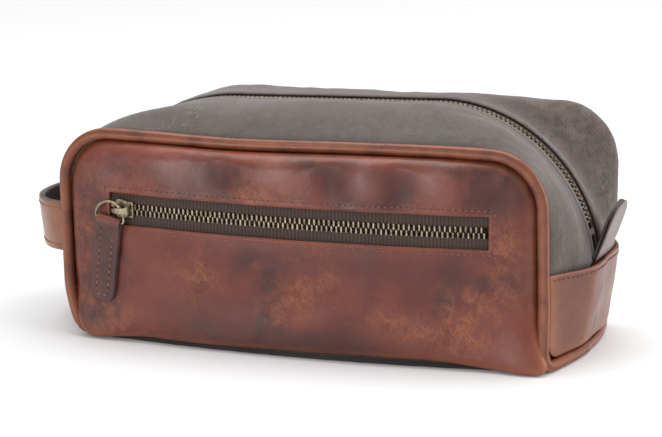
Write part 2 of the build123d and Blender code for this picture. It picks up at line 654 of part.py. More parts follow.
# ---------------------------------------------------------------- carrying loop at the left end
def loop_layer(radius_out, radius_in):
    """One layer of the loop: a level ring sector, sagging at its far end."""
    low = HANDLE_MID_HEIGHT - HANDLE_WIDTH / 2
    band = Cylinder(radius_out, HANDLE_WIDTH) - Cylinder(radius_in, HANDLE_WIDTH + 2)
    band = Pos(HANDLE_CENTRE_X, 0, low + HANDLE_WIDTH / 2) * band
    band &= slab(-200, -SEAM_LENGTH / 2 - 0.05, -60, 60, 0, 90)
    hinge = Pos(-SEAM_LENGTH / 2, 0, HANDLE_MID_HEIGHT)
    drooped = hinge * Rot(0, -HANDLE_DROOP, 0) * hinge.inverse() * band
    drooped &= slab(-200, -SEAM_LENGTH / 2 - 0.05, -60, 60, 0, 90)
    return drooped - mirror(end_block(END_PANEL_BULGE_LEFT, -GAP, 0, 90), Plane.YZ)


middle_radius = HANDLE_RADIUS - HANDLE_LEATHER
save("handle_outer", loop_layer(HANDLE_RADIUS, middle_radius))
save("handle_lining", loop_layer(middle_radius - 0.02, middle_radius - HANDLE_LINING))
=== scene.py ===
"""Looks of a leather and waxed-canvas toiletry bag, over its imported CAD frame.

Lengths in this script are millimetres. MM turns them into metres.
+X runs towards the grab tab, -Y is the front with the zip pocket, +Z is up.
"""
import math

import bpy
from mathutils import Matrix, Vector, noise


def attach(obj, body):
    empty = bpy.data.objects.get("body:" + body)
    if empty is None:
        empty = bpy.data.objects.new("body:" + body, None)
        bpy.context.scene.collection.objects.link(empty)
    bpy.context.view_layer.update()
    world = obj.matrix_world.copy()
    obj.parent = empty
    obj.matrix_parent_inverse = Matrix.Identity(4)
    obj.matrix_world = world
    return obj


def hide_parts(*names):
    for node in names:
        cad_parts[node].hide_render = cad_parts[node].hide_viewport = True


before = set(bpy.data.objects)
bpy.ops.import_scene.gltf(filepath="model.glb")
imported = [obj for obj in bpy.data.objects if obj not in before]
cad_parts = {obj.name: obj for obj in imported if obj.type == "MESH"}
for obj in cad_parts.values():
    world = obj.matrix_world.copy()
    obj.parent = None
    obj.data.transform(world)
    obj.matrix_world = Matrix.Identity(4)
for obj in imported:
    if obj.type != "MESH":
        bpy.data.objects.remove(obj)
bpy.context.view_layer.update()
MM = 0.001

# ---------------------------------------------------------------- the bag's own numbers
SEAM_HALF = 128.0          # over the piping
SEAM_TOP = 107.0
SEAM_Y = 46.0
SEAM_CORNER = 28.0
PIPE_R = 2.75
CORD_R = 1.5
PIPE_BASE_BEND = 7.5
RIM_Y = 43.1               # where gusset and panels meet the piping

PANEL_HALF = 122.3
PANEL_LOW = 4.2
PANEL_HIGH = 101.3
PANEL_CORNER = 22.5
PANEL_PLAN_R = 700.0
PANEL_RISE_R = 314.0
PANEL_MID_Z = 56.0
FRONT_BULGE = 60.0
BACK_BULGE = 57.5
LEATHER = 1.8
CANVAS = 1.2
LINING = 0.5
SEAM_PITCH = 3.05          # of the stitches in the leather's seams

WINDOW = (-98.0, 100.5, 60.0, 76.0)
POCKET_ZIP_Z = 68.0
POCKET_CHAIN_INSET = 2.35
POCKET_SLIDER_X = -89.0
POCKET_TEETH_FROM = 4.5    # from the window's left edge
ZIP_PITCH = 2.5

CROWN = ((-50.0, 27.0, 90.0), (58.0, 40.0, 80.0))
SHOULDER = ((-72.8, 53.5, 60.0), (77.8, 59.0, 55.0))
REAR_SHOULDER = ((-72.8, 55.8, 60.0), (110.2, 87.3, 29.0))
EDGE = ((-98.0, 77.0, 28.0), (98.0, 77.0, 28.0))
CROWN_FOOT = 133.0         # half the arch's width at its feet
SHOULDER_FOOT = 128.6
REAR_SHOULDER_FOOT = 136.0
EDGE_FOOT = 125.6
ZIP_INSET = 1.75
MAIN_ZIP_END = 62.0
CANVAS_ZIP_EDGE = 5.3

END_TOP = 47.0
END_LOW = 5.7
END_BULGE_RIGHT = 142.8
END_BULGE_LEFT = 140.3
END_BASE_BULGE = 134.5
END_FACET = 15.0
HEM_TO_STITCHES = 2.7

RING_R = 8.2
RING_BEND = 1.4
RING_WIRE = 0.75
RING_LIFT = 5.0
RING_CROSSING = math.radians(40.0)
PULL_TILT = 10.0
PULL_LEAN = 2.5
MAIN_SLIDER_AT = 2.0       # along the zip
MAIN_RING_LEAN = 55.0
MAIN_TAB_LEAN = 6.0
TAB_HALF = 6.8
TAB_LENGTH = 43.0
TAB_LAYER = 1.26
TAB_ROW = 3.45             # from the pull's middle to each row of stitches

GRAB_PIVOT = (139.5, 48.7)
GRAB_LEAN = 21.0
GRAB_HALF = 12.0
GRAB_LENGTH = 29.0

LOOP_X = -113.3
LOOP_R = 44.9
LOOP_WIDTH = 25.0
LOOP_Z = 54.0
LOOP_DROOP = 5.5
LOOP_STRAP = 1.9
LOOP_BACKING = 1.26
LOOP_ROW = 2.9             # from the loop's edge to its stitches


# ---------------------------------------------------------------- mesh helpers
def make_piece(name, body, skin, materials, node=None, slot=None, mats=None, smooth=True, **marks):
    """A mesh piece from points in millimetres and faces, which rides on a body and may replace a CAD
    node. marks are numbers for each point, or one number for all, that the materials read."""
    points, faces = skin
    mesh = bpy.data.meshes.new(name)
    mesh.from_pydata([Vector(p) * MM for p in points], [], faces)
    obj = bpy.data.objects.new(name, mesh)
    bpy.context.scene.collection.objects.link(obj)
    for material in materials:
        mesh.materials.append(material)
    if mats:
        mesh.polygons.foreach_set("material_index", mats)
    mesh.polygons.foreach_set("use_smooth", [smooth] * len(mesh.polygons))
    mesh.update()
    for mark, values in marks.items():
        attribute = mesh.attributes.new(mark, "FLOAT", "POINT")
        attribute.data.foreach_set("value", values if isinstance(values, list) else [values] * len(points))
    if node:
        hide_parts(node)
    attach(obj, body)
    return obj


def modify(obj, kind, **settings):
    """Adds a modifier to a piece."""
    modifier = obj.modifiers.new(kind.lower(), kind)
    for key, value in settings.items():
        setattr(modifier, key, value)
    return obj


def thicken(obj, thickness, rim=0):
    """Turn a surface into a sheet of real thickness, behind its outer face. rim counts materials on
    from the face's own to the cut edge's."""
    return modify(obj, "SOLIDIFY", thickness=thickness * MM, offset=-1.0, material_offset_rim=rim)


def loft(rings, closed=False, tube=True, flip=False):
    """Points and faces of a skin through rings of equal count. closed joins the last ring to the
    first. A tube's rings are loops, and its open ends are capped."""
    points = [p for ring in rings for p in ring]
    n = len(rings[0])
    faces = []
    for i in range(len(rings) if closed else len(rings) - 1):
        a, b = i * n, (i + 1) % len(rings) * n
        for j in range(n if tube else n - 1):
            k = (j + 1) % n
            faces.append((a + j, b + j, b + k, a + k))
    if tube and not closed:
        faces.append(tuple(range(n)))
        faces.append(tuple(reversed(range(len(points) - n, len(points)))))
    return points, [face[::-1] for face in faces] if flip else faces


def net(rows, columns, flip):
    """Faces between the rows of a net of points."""
    corners = [i * columns + j for i in range(rows - 1) for j in range(columns - 1)]
    faces = [(a, a + 1, a + columns + 1, a + columns) for a in corners]
    return [face[::-1] for face in faces] if flip else faces


def joined(skins):
    """Several skins as one."""
    points, faces = [], []
    for p, f in skins:
        faces += [tuple(q + len(points) for q in face) for face in f]
        points += p
    return points, faces


def circle(middle, across, up, sides):
    """Points round a middle. across and up are its two radii."""
    return [middle + across * math.cos(w) + up * math.sin(w) for w in
            (math.tau * k / sides for k in range(sides))]


def steps(start, end, count):
    """Even steps from start to end, both included."""
    return [start + (end - start) * i / count for i in range(count + 1)]


def spaced(start, end, step):
    """Even steps of about a given size."""
    return steps(start, end, max(1, round((end - start) / step)))


def rounded_path(corners, radii, step, closed=False):
    """Points along straight runs whose corners are rounded by arcs."""
    corners = [Vector(c) for c in corners]
    count = len(corners)
    path = []
    for i, corner in enumerate(corners):
        if not closed and i in (0, count - 1):
            path.append(corner)
            continue
        before = (corners[i - 1] - corner).normalized()
        after = (corners[(i + 1) % count] - corner).normalized()
        half = before.angle(after) / 2
        reach = radii[i] / math.tan(half)
        middle = corner + (before + after).normalized() * (radii[i] / math.sin(half))
        start = corner + before * reach - middle
        turn = math.pi - 2 * half
        axis = start.cross(corner + after * reach - middle).normalized()
        bends = steps(0, turn, max(3, round(turn * radii[i] / step)))
        path += [middle + Matrix.Rotation(bend, 3, axis) @ start for bend in bends]
    filled = []
    pairs = zip(path, path[1:] + path[:1]) if closed else zip(path, path[1:])
    for a, b in pairs:
        pieces = max(1, round((b - a).length / step))
        filled += [a.lerp(b, k / pieces) for k in range(pieces)]
    return filled if closed else filled + [path[-1]]


def tangents(path, closed=False):
    n = len(path)
    if closed:
        return [(path[(i + 1) % n] - path[i - 1]).normalized() for i in range(n)]
    return [(path[min(i + 1, n - 1)] - path[max(i - 1, 0)]).normalized() for i in range(n)]


def bump(x, centre, width):
    return math.exp(-((x - centre) / width) ** 2)


def ramp(x, start, end):
    t = min(1.0, max(0.0, (x - start) / (end - start)))
    return t * t * (3 - 2 * t)


def rumple(p, scale, depth=3):
    """Smooth noise about zero, about one across, for creases of roughly that size."""
    return noise.fractal(Vector(p) / scale, 0.8, 2.0, depth)


def thread_row(name, body, places, pitch, thread, radius=0.37, share=0.62):
    """A row of stitches along (point, normal) places, with a near-black oval in each gap: painted shade for a
    needle hole.
    """
    along = [0.0]
    for (a, _), (b, _) in zip(places, places[1:]):
        along.append(along[-1] + (b - a).length)

    def at(distance):
        """Point, normal, way ahead and way across."""
        i = 0
        while i < len(along) - 2 and along[i + 1] < distance:
            i += 1
        t = (distance - along[i]) / max(along[i + 1] - along[i], 1e-6)
        normal = places[i][1].lerp(places[i + 1][1], t).normalized()
        ahead = (places[i + 1][0] - places[i][0]).normalized()
        return places[i][0].lerp(places[i + 1][0], t), normal, ahead, normal.cross(ahead).normalized()

    skins, mats = [], []
    for k in range(int(along[-1] / pitch)):
        centre, normal, ahead, side = at((k + 0.5) * pitch)
        run = ahead * share * pitch / 2 + side * 0.16
        rings = []
        for t in (-1.0, -0.75, -0.35, 0.0, 0.35, 0.75, 1.0):
            girth = radius * math.sqrt(1 - 0.9 * t * t)
            middle = centre + run * t + normal * (0.3 * (1 - t * t) - 0.12)
            rings.append(circle(middle, side * girth, normal * girth, 6))
        stitch = loft(rings)
        hole, normal, ahead, side = at(k * pitch)
        oval = circle(hole + normal * 0.05, ahead * 0.55, side * 0.46, 8)
        skins += [stitch, (oval, [tuple(range(8))])]
        mats += [0] * len(stitch[1]) + [1]
    make_piece(name, body, joined(skins), [thread, NEEDLE_HOLE_SHADE], mats=mats)


# ---------------------------------------------------------------- material helpers
class Value:
    """A socket in a material's tree that can be added, subtracted and multiplied."""

    def __init__(self, shader, socket):
        self.shader, self.socket = shader, socket

    def __add__(self, other):
        return self.shader.math("ADD", self, other)

    def __sub__(self, other):
        return self.shader.math("SUBTRACT", self, other)

    def __mul__(self, other):
        return self.shader.math("MULTIPLY", self, other)


class Shader:
    """Short names for building one procedural material."""

    def __init__(self, name):
        self.material = bpy.data.materials.new(name)
        self.material.use_nodes = True
        self.tree = self.material.node_tree
        self.bsdf = self.tree.nodes["Principled BSDF"].inputs
        self.place = self.node("TexCoord", "Object")

    def plug(self, socket, value):
        """A Value is linked to a socket. A number or a colour becomes its constant."""
        if isinstance(value, Value):
            self.tree.links.new(value.socket, socket)
        elif socket.type == "RGBA":
            socket.default_value = (*value, 1.0)
        else:
            socket.default_value = value

    def node(self, kind, output, inputs=(), **settings):
        """A node with its settings and inputs, as the Value of one of its outputs."""
        made = self.tree.nodes.new("ShaderNode" + kind)
        for key, value in settings.items():
            setattr(made, key, value)
        for key, value in dict(inputs).items():
            self.plug(made.inputs[key], value)
        return Value(self, made.outputs[output])

    def mapped(self, scale, turn=(0, 0, 0)):
        """Object coordinates turned, then stretched along the turned axes."""
        turned = self.node("Mapping", "Vector", {"Rotation": turn, "Vector": self.place})
        return self.node("Mapping", "Vector", {"Scale": scale, "Vector": turned})

    def noise(self, scale, detail=4.0, rough=0.55, distort=0.0, vector=None):
        return self.node("TexNoise", "Fac", {"Vector": vector or self.place, "Scale": scale,
                                             "Detail": detail, "Roughness": rough, "Distortion": distort})

    def wave(self, period, direction, distort):
        """Bands across X or slantwise. The period is in millimetres."""
        return self.node("TexWave", "Fac", {"Vector": self.place, "Distortion": distort,
                                            "Scale": 1 / MM / period / math.tau}, bands_direction=direction)

    def ridges(self, scale, vector, sharp, distort):
        """Thin wandering lines where a cloudy pattern crosses its middle value."""
        off = self.math("ABSOLUTE", self.noise(scale, 3.0, 0.55, distort, vector) - 0.5)
        return self.fit(off * 2.0, 0.0, 1.0 - sharp, 1.0, 0.0)

    def attribute(self, name):
        return self.node("Attribute", "Fac", attribute_name=name)

    def math(self, operation, a, b=0.5):
        return self.node("Math", 0, {0: a, 1: b}, operation=operation)

    def fit(self, value, low, high, to_low=0.0, to_high=1.0):
        """A smooth step from one range to another."""
        return self.node("MapRange", "Result", {"Value": value, "From Min": low, "From Max": high,
                                                "To Min": to_low, "To Max": to_high},
                         interpolation_type="SMOOTHSTEP")

    def mix(self, factor, a, b):
        return self.node("Mix", 2, {0: factor, 6: a, 7: b}, data_type="RGBA")

    def finish(self, colour, roughness, height=None, relief=0.2, **constants):
        """Wires the results up. relief is in millimetres; constants are the shader's own sockets."""
        self.plug(self.bsdf["Base Color"], colour)
        self.plug(self.bsdf["Roughness"], roughness)
        for key, value in constants.items():
            self.bsdf[key.replace("_", " ")].default_value = value
        if height:
            self.plug(self.bsdf["Normal"], self.node("Bump", "Normal", {
                "Strength": 1.0, "Distance": relief * MM, "Height": height}))
        return self.material


# Colour of the painted highlight on the panels' tops, standing in for their sheen.
PAINTED_SHEEN_COLOUR = (0.27, 0.15, 0.13)


def scaled(colour, share):
    return tuple(c * share for c in colour)


def leather(name, dark, body, light, scuff, rough=0.40, patch=24.0, grain=0.16, streak=0.8):
    """Waxed pull-up leather: cloudy patches, branching pull-up creases, and worn lighter edges, with painted
    shade, painted highlight bands and painted sheen where a piece's marks call for them.
    """
    s = Shader(name)
    scuffed, stained = s.attribute("scuff"), s.attribute("stain")
    mottle = s.noise(120.0, 5.0, 0.62, 0.5)
    fine = s.noise(600.0, 4.0, 0.7, 0.3)
    colour = s.mix(s.fit(s.noise(patch, 3.5, 0.55, 0.7), 0.30, 0.60), dark, body)
    colour = s.mix(s.fit(mottle, 0.40, 0.75) * 0.40, colour, light)
    colour = s.mix(s.fit(fine, 0.45, 0.75) * 0.22, colour, light)
    veins = s.ridges(52.0, s.mapped((2.6, 1.0, 0.8), (0.0, 0.8, 0.0)), 0.90, 1.0)
    creases = s.ridges(120.0, s.mapped((3.0, 1.0, 0.9), (0.0, -0.35, 0.0)), 0.82, 1.3)
    where = s.math("MAXIMUM", scuffed, s.fit(s.noise(30.0, 3.0, 0.6, 0.8), 0.56, 0.74, 0.0, 0.6))
    scuffs = s.math("MAXIMUM", veins, creases * 0.75) * s.fit(mottle, 0.36, 0.60) * where * streak
    colour = s.mix(scuffed * s.fit(mottle, 0.22, 0.72) * 0.8, colour, light)
    colour = s.mix(scuffs, colour, scuff)
    # Darker towards the dark colour where stained marks it: real waxy stains, and painted shade in dents,
    # tucks and grooves.
    colour = s.mix(stained, colour, dark)
    # Painted highlight: pale patches where a panel is marked, standing in for its sheen.
    bloom = s.attribute("bloom") * s.fit(s.noise(60.0, 4.0, 0.6, 0.6), 0.30, 0.62, 0.3, 1.0)
    colour = s.mix(bloom, colour, PAINTED_SHEEN_COLOUR)
    # Lighter towards the scuff colour where wear marks it: real rubbed wear, and on the piping two painted
    # highlight bands.
    colour = s.mix(s.attribute("wear") * s.fit(mottle, 0.20, 0.55, 0.35, 1.0), colour, scuff)
    pores = s.node("TexVoronoi", "Distance", {"Vector": s.place, "Scale": 900.0})
    height = pores * 0.30 + fine * 0.7 + s.noise(110.0, 4.0, 0.6, 0.7) * 0.6 - creases * where * 0.9
    roughness = s.fit(mottle + scuffs + stained * 0.9, 0.35, 1.2, rough - 0.06, rough + 0.22)
    return s.finish(colour, roughness, height, grain, Specular_IOR_Level=0.45, Coat_Weight=0.10,
                    Coat_Roughness=0.30)


def canvas(name, dark, light):
    """Waxed canvas: plain weave, rubbed wax, pale lines where it has creased."""
    s = Shader(name)
    rub = s.noise(240.0, 5.0, 0.75, 0.3)
    speck = s.noise(1500.0, 3.0, 0.7)
    tone = s.noise(16.0, 5.0, 0.6, 0.8) * 0.6 + rub * 0.4
    colour = s.mix(s.fit(tone, 0.36, 0.66), dark, light)
    colour = s.mix(s.fit(speck, 0.45, 0.75) * 0.35, colour, scaled(light, 1.7))
    colour = s.mix(s.attribute("wear") * s.fit(rub, 0.35, 0.6), colour, scaled(light, 1.75))
    # Darker where stain marks it: painted shade in the gusset's tucks and the base hem's groove.
    colour = s.mix(s.attribute("stain"), colour, scaled(dark, 0.55))
    folds = s.ridges(24.0, None, 0.965, 2.2) * s.fit(s.noise(12.0, 2.0), 0.45, 0.62)
    colour = s.mix(folds * s.fit(rub, 0.3, 0.6, 0.1, 0.55), colour, scaled(light, 1.8))
    weave = s.wave(0.75, "X", 0.6) * 0.25 + s.wave(0.75, "DIAGONAL", 0.6) * 0.25
    height = weave + speck * 0.7 + s.noise(70.0, 4.0, 0.6, 0.8) * 2.0
    return s.finish(colour, 0.72, height, 0.14, Sheen_Weight=0.25, Sheen_Roughness=0.5,
                    Specular_IOR_Level=0.3)


def tape_cloth():
    """Zip tape: fine upright ribs with a closer herringbone between them."""
    s = Shader("zip_tape_weave")
    ribs = s.wave(0.95, "X", 0.3) * 0.7 + s.wave(0.5, "DIAGONAL", 0.5) * 0.3
    height = ribs + s.noise(1400.0, 4.0, 0.7) * 0.5
    colour = s.mix(s.fit(height, 0.3, 1.2), (0.050, 0.033, 0.026), (0.084, 0.060, 0.050))
    return s.finish(colour, 0.85, height, 0.12, Sheen_Weight=0.1, Specular_IOR_Level=0.2)


def brass(name, bright, dull, rough):
    """Antiqued brass: rubbed bright and tarnished brown in cloudy patches, with fine scratches."""
    s = Shader(name)
    tarnish = s.noise(420.0, 5.0, 0.65, 0.4)
    scratches = s.noise(1.0, 4.0, 0.7, 0.0, s.mapped((600, 4200, 900)))
    colour = s.mix(s.fit(tarnish, 0.38, 0.62), dull, bright)
    roughness = s.fit(tarnish + scratches, 0.7, 1.3, rough + 0.16, rough - 0.06)
    return s.finish(colour, roughness, scratches, 0.03, Metallic=1.0)


def cloth(name, dark, light, thread):
    """Plain woven lining, thread or cord. thread is the width of its yarn in millimetres."""
    s = Shader(name)
    weave = s.wave(thread, "X", 0.4) * 0.5 + s.wave(thread, "DIAGONAL", 0.4) * 0.5
    tone = s.noise(900.0, 4.0, 0.7) * 0.7 + weave * 0.3
    return s.finish(s.mix(s.fit(tone, 0.3, 0.75), dark, light), 0.85, weave, 0.12, Sheen_Weight=0.2)


FRONT_LEATHER = leather("pullup_leather_front", (0.036, 0.0075, 0.0075), (0.160, 0.0275, 0.0155),
                        (0.198, 0.048, 0.022), (0.40, 0.135, 0.055), rough=0.37)
END_LEATHER = leather("pullup_leather_end", (0.075, 0.024, 0.016), (0.145, 0.045, 0.025),
                      (0.21, 0.07, 0.033), (0.34, 0.12, 0.048), rough=0.34, patch=18.0, streak=0.35)
PIPING_LEATHER = leather("piping_leather", (0.075, 0.018, 0.010), (0.180, 0.046, 0.018),
                         (0.25, 0.072, 0.027), (0.40, 0.130, 0.048), rough=0.36, patch=60.0, grain=0.10)
TAB_LEATHER = leather("tab_leather", (0.038, 0.015, 0.014), (0.066, 0.024, 0.019),
                      (0.10, 0.034, 0.024), (0.24, 0.055, 0.022), rough=0.38, patch=60.0, streak=0.3)
HANDLE_LEATHER = leather("loop_leather", (0.090, 0.024, 0.010), (0.215, 0.058, 0.019),
                         (0.28, 0.095, 0.036), (0.38, 0.145, 0.055), rough=0.34, patch=40.0)
# Greyish colours: painted sheen, standing in for the grab tab's glancing reflection of its bright
# surroundings.
GREYED_GRAB_LEATHER = leather("grab_leather_painted_sheen", (0.085, 0.050, 0.042), (0.150, 0.096, 0.082),
                       (0.20, 0.13, 0.11), (0.26, 0.15, 0.11), rough=0.32, patch=50.0, streak=0.2)
EDGE_PAINT = leather("edge_paint", (0.024, 0.017, 0.016), (0.040, 0.030, 0.027),
                     (0.060, 0.045, 0.040), (0.085, 0.065, 0.055), rough=0.46, patch=90.0, streak=0.2)
CUT_EDGE = leather("cut_edge", (0.060, 0.018, 0.011), (0.115, 0.036, 0.019), (0.17, 0.055, 0.028),
                   (0.26, 0.09, 0.042), rough=0.6, patch=120.0, streak=0.2)
CANVAS_CLOTH = canvas("waxed_canvas", (0.070, 0.054, 0.047), (0.110, 0.089, 0.080))
# A much darker copy of the waxed canvas: painted shade for the base, which sits in shadow under the leather.
SHADED_BASE_CANVAS = canvas("base_canvas_painted_shade", (0.020, 0.014, 0.014), (0.036, 0.027, 0.026))
TAPE_CLOTH = tape_cloth()
TOOTH_BRASS = brass("tooth_brass", (0.44, 0.36, 0.26), (0.20, 0.16, 0.11), 0.42)
PULL_BRASS = brass("pull_brass", (0.40, 0.34, 0.23), (0.17, 0.14, 0.09), 0.34)
SEAM_THREAD = cloth("seam_thread", (0.15, 0.045, 0.030), (0.28, 0.10, 0.070), 0.5)
TAB_THREAD = cloth("tab_thread", (0.22, 0.07, 0.04), (0.42, 0.17, 0.10), 0.5)
LINING_CLOTH = cloth("lining_twill", (0.16, 0.13, 0.10), (0.30, 0.25, 0.19), 0.9)
PIPING_CORD = cloth("piping_cord_cotton", (0.42, 0.38, 0.31), (0.66, 0.61, 0.52), 1.2)
BOARD = cloth("stiffener_board", (0.03, 0.03, 0.03), (0.07, 0.07, 0.07), 2.0)
# Near-black ovals: painted shade standing in for needle holes.
NEEDLE_HOLE_SHADE = cloth("needle_hole_painted_shade", (0.010, 0.005, 0.004), (0.022, 0.010, 0.008), 0.8)


# ---------------------------------------------------------------- front and back panels
def top_sag(x):
    """How far the top seam dips or lifts along the bag's length."""
    return -1.7 * bump(x, -30, 46) + 0.7 * bump(x, 82, 34)


def base_bow(y):
    """How far the base's right-hand edge is pushed out by the filled end panel."""
    return 7.5 * max(0.0, 1 - (y / SEAM_Y) ** 2)


def sagged(p):
    """A point of the seams, moved as the filled bag slumps on its base."""
    x, y, z = p
    if y > 0:
        z -= 9.0 * bump(x, -106, 28) * ramp(z, 66, 100) * ramp(y, 5, 40)
    else:
        z += top_sag(x) * ramp(z, 72, 100)
    front = ramp(-y, 15, 43)
    low = max(0.0, 1 - z / 34)
    if x < 0:
        x += 10.0 * low ** 2 * front * ramp(-x, 95, 120)
        y -= 4.0 * low ** 1.3 * bump(y, -SEAM_Y, 12) * ramp(-x, 90, 112)
    else:
        y -= 3.6 * low ** 1.3 * bump(y, -SEAM_Y, 12) * ramp(x, 100, 120)
    return Vector((x, y, z))


def border_x(z, low_corner):
    """Half width of a panel at a height."""
    over = z - (PANEL_HIGH - PANEL_CORNER)
    under = PANEL_LOW + low_corner - z
    if over > 0:
        return PANEL_HALF - PANEL_CORNER + math.sqrt(max(PANEL_CORNER ** 2 - over ** 2, 0))
    if under > 0:
        return PANEL_HALF - low_corner + math.sqrt(max(low_corner ** 2 - under ** 2, 0))
    return PANEL_HALF


def border_distance(x, z, low_corner):
    """Distance from a point of a panel to its rounded outline."""
    middle = (PANEL_LOW + PANEL_HIGH) / 2
    half = (PANEL_HIGH - PANEL_LOW) / 2
    radius = PANEL_CORNER if z > middle else low_corner
    qx = abs(x) - (PANEL_HALF - radius)
    qz = abs(z - middle) - (half - radius)
    return radius - math.hypot(max(qx, 0), max(qz, 0)) - min(max(qx, qz), 0)


EDGE_ROLL = 6.4
EDGE_STEPS = (0, 0.12, 0.45, 1.0, 1.8, 2.9, 4.3, 6.2, 8.6)


def panel_grid(window, low_left, low_right):
    """Rows of (x, z) across a panel. Rows and columns fall on the window's edges."""
    corner_z = PANEL_HIGH - PANEL_CORNER
    low = max(low_left, low_right)
    rows = [PANEL_LOW + low * (1 - math.cos(math.radians(a))) for a in range(0, 90, 9)]
    if window:
        rows += spaced(PANEL_LOW + low, window[2], 1.7) + spaced(window[2], window[3], 2.0)[1:]
        rows += spaced(window[3], corner_z, 1.4)[1:]
    else:
        rows += spaced(PANEL_LOW + low, corner_z, 1.7)
    rows += [corner_z + PANEL_CORNER * math.sin(math.radians(a)) for a in range(6, 91, 6)]
    inner = PANEL_HALF - EDGE_STEPS[-1]
    stops = [-inner, window[0], window[1], inner] if window else [-inner, inner]
    shares = []
    for a, b in zip(stops, stops[1:]):
        shares += spaced((a + inner) / (2 * inner), (b + inner) / (2 * inner), 1.7 / (2 * inner))[1:]
    shares = [0.0] + shares
    grid = []
    for z in rows:
        left, right = border_x(z, low_left), border_x(z, low_right)
        line = [-(left - d) for d in EDGE_STEPS[:-1]]
        line += [-(left - EDGE_STEPS[-1]) + share * (left + right - 2 * EDGE_STEPS[-1]) for share in shares]
        line += [right - d for d in reversed(EDGE_STEPS[:-1])]
        grid.append([(x, z) for x in line])
    return grid


# Where the front leather has been pushed in or out by what is inside: x, z, height, half widths.
FRONT_DENTS = ((-35, 90, -1.9, 8, 10), (-8, 91, 1.0, 13, 10), (23, 89, -1.7, 8, 11), (39, 90, 1.0, 7, 9),
               (56, 88, -1.5, 8, 12), (76, 89, 1.2, 10, 12), (-72, 90, 0.7, 16, 10), (102, 84, -1.0, 10, 12),
               (-56, 92, -0.6, 7, 8), (40, 34, 0.8, 30, 18), (-30, 30, -0.6, 26, 16), (95, 30, -0.6, 18, 20),
               (-85, 26, 0.7, 22, 18), (-62, 45, -0.5, 14, 9), (4, 46, 0.5, 16, 8))
# Places rubbed lighter, and places painted darker: waxy dark patches, painted shade in the dents along the
# top, and a darker band along the bottom edge. x, z, strength, half widths.
FRONT_SCUFFS = ((-18, 80, 0.8, 7, 5), (-48, 38, 0.6, 12, 7), (6, 33, 0.75, 9, 11), (-8, 22, 0.6, 9, 8),
                (20, 44, 0.7, 8, 7), (44, 24, 0.7, 20, 4), (88, 34, 0.7, 16, 12), (78, 16, 0.9, 22, 7),
                (108, 60, 0.6, 8, 22), (-100, 14, 0.5, 20, 8), (-90, 84, 0.5, 18, 9), (-10, 84, 0.5, 22, 8),
                (66, 82, 0.6, 14, 6), (-112, 46, 0.45, 8, 26))
FRONT_STAINS_AND_SHADE = ((-35, 88, 0.75, 8, 8), (24, 88, 0.8, 10, 10), (57, 86, 0.8, 11, 10), (104, 84, 0.7, 16, 9),
                (10, 8, 0.55, 60, 5), (-64, 52, 0.3, 12, 6), (28, 20, 0.45, 14, 8), (66, 34, 0.4, 10, 8),
                (-10, 50, 0.35, 40, 8), (50, 48, 0.45, 34, 10), (10, 12, 0.5, 50, 6), (-70, 88, 0.35, 22, 5),
                (-50, 20, 0.35, 26, 9), (84, 48, 0.4, 14, 10))
# Pale grey-mauve patches painted on the panels' tops: painted highlight, standing in for the sheen where the
# leather's dips and rises catch the light. x, z, strength, half widths.
FRONT_PAINTED_SHEEN = ((-60, 91, 0.55, 13, 8), (-6, 92, 0.45, 9, 9), (40, 90, 0.5, 6, 9), (76, 90, 0.5, 9, 9),
               (-98, 82, 0.3, 10, 9))
BACK_PAINTED_SHEEN = ((30, 88, 0.4, 26, 8), (-80, 60, 0.3, 14, 12))
BACK_DENTS = ((-60, 70, 0.9, 26, 22), (10, 40, -0.8, 30, 20), (70, 66, 0.8, 24, 24), (95, 24, -0.6, 20, 14))
BACK_SCUFFS = ((-70, 30, 0.8, 22, 12), (20, 70, 0.7, 26, 10), (80, 40, 0.9, 18, 16), (-20, 20, 0.6, 24, 8))
BACK_STAINS = ((-20, 62, 0.5, 34, 14), (60, 18, 0.5, 30, 9), (-95, 76, 0.5, 18, 14))


def patches(x, z, spots):
    """Sum of soft spots at a place on a panel."""
    return sum(s * bump(x, cx, wx) * bump(z, cz, wz) for cx, cz, s, wx, wz in spots)


def window_distance(x, z):
    """Distance outside the pocket's window."""
    dx = max(WINDOW[0] - x, 0, x - WINDOW[1])
    dz = max(WINDOW[2] - z, 0, z - WINDOW[3])
    return math.hypot(dx, dz)


STITCH_MARGIN = 2.6


def panel_bulge(x, z, bulge, low_corner, dents, window):
    """How far a panel stands out from the bag's middle plane."""
    out = bulge - x * x / (2 * PANEL_PLAN_R) - (z - PANEL_MID_Z) ** 2 / (2 * PANEL_RISE_R)
    d = border_distance(x, z, low_corner)
    roll = EDGE_ROLL - 3.4 * (1 - ramp(z, 6, 30)) * ramp(abs(x), 80, 112)
    if d < roll:
        out -= roll - math.sqrt(max(roll ** 2 - (roll - d) ** 2, 0))
    calm = ramp(d, 1.0, 9.0)
    out += patches(x, z, dents) * ramp(d, 0.5, 6.0)
    out += (0.55 * rumple((x, z, bulge), 34.0) + 0.16 * rumple((x + 90, z, bulge), 10.0)) * calm
    # The edge is drawn in a little between the seam's gathers.
    out += 0.22 * math.sin(x * 0.41 + 1.3 * math.sin(x * 0.13)) * bump(d, 4.0, 3.5)
    if window:
        w = window_distance(x, z)
        out -= 0.32 * bump(w, STITCH_MARGIN, 0.9)
        out += 0.12 * bump(w, 1.0, 0.8)
    return out


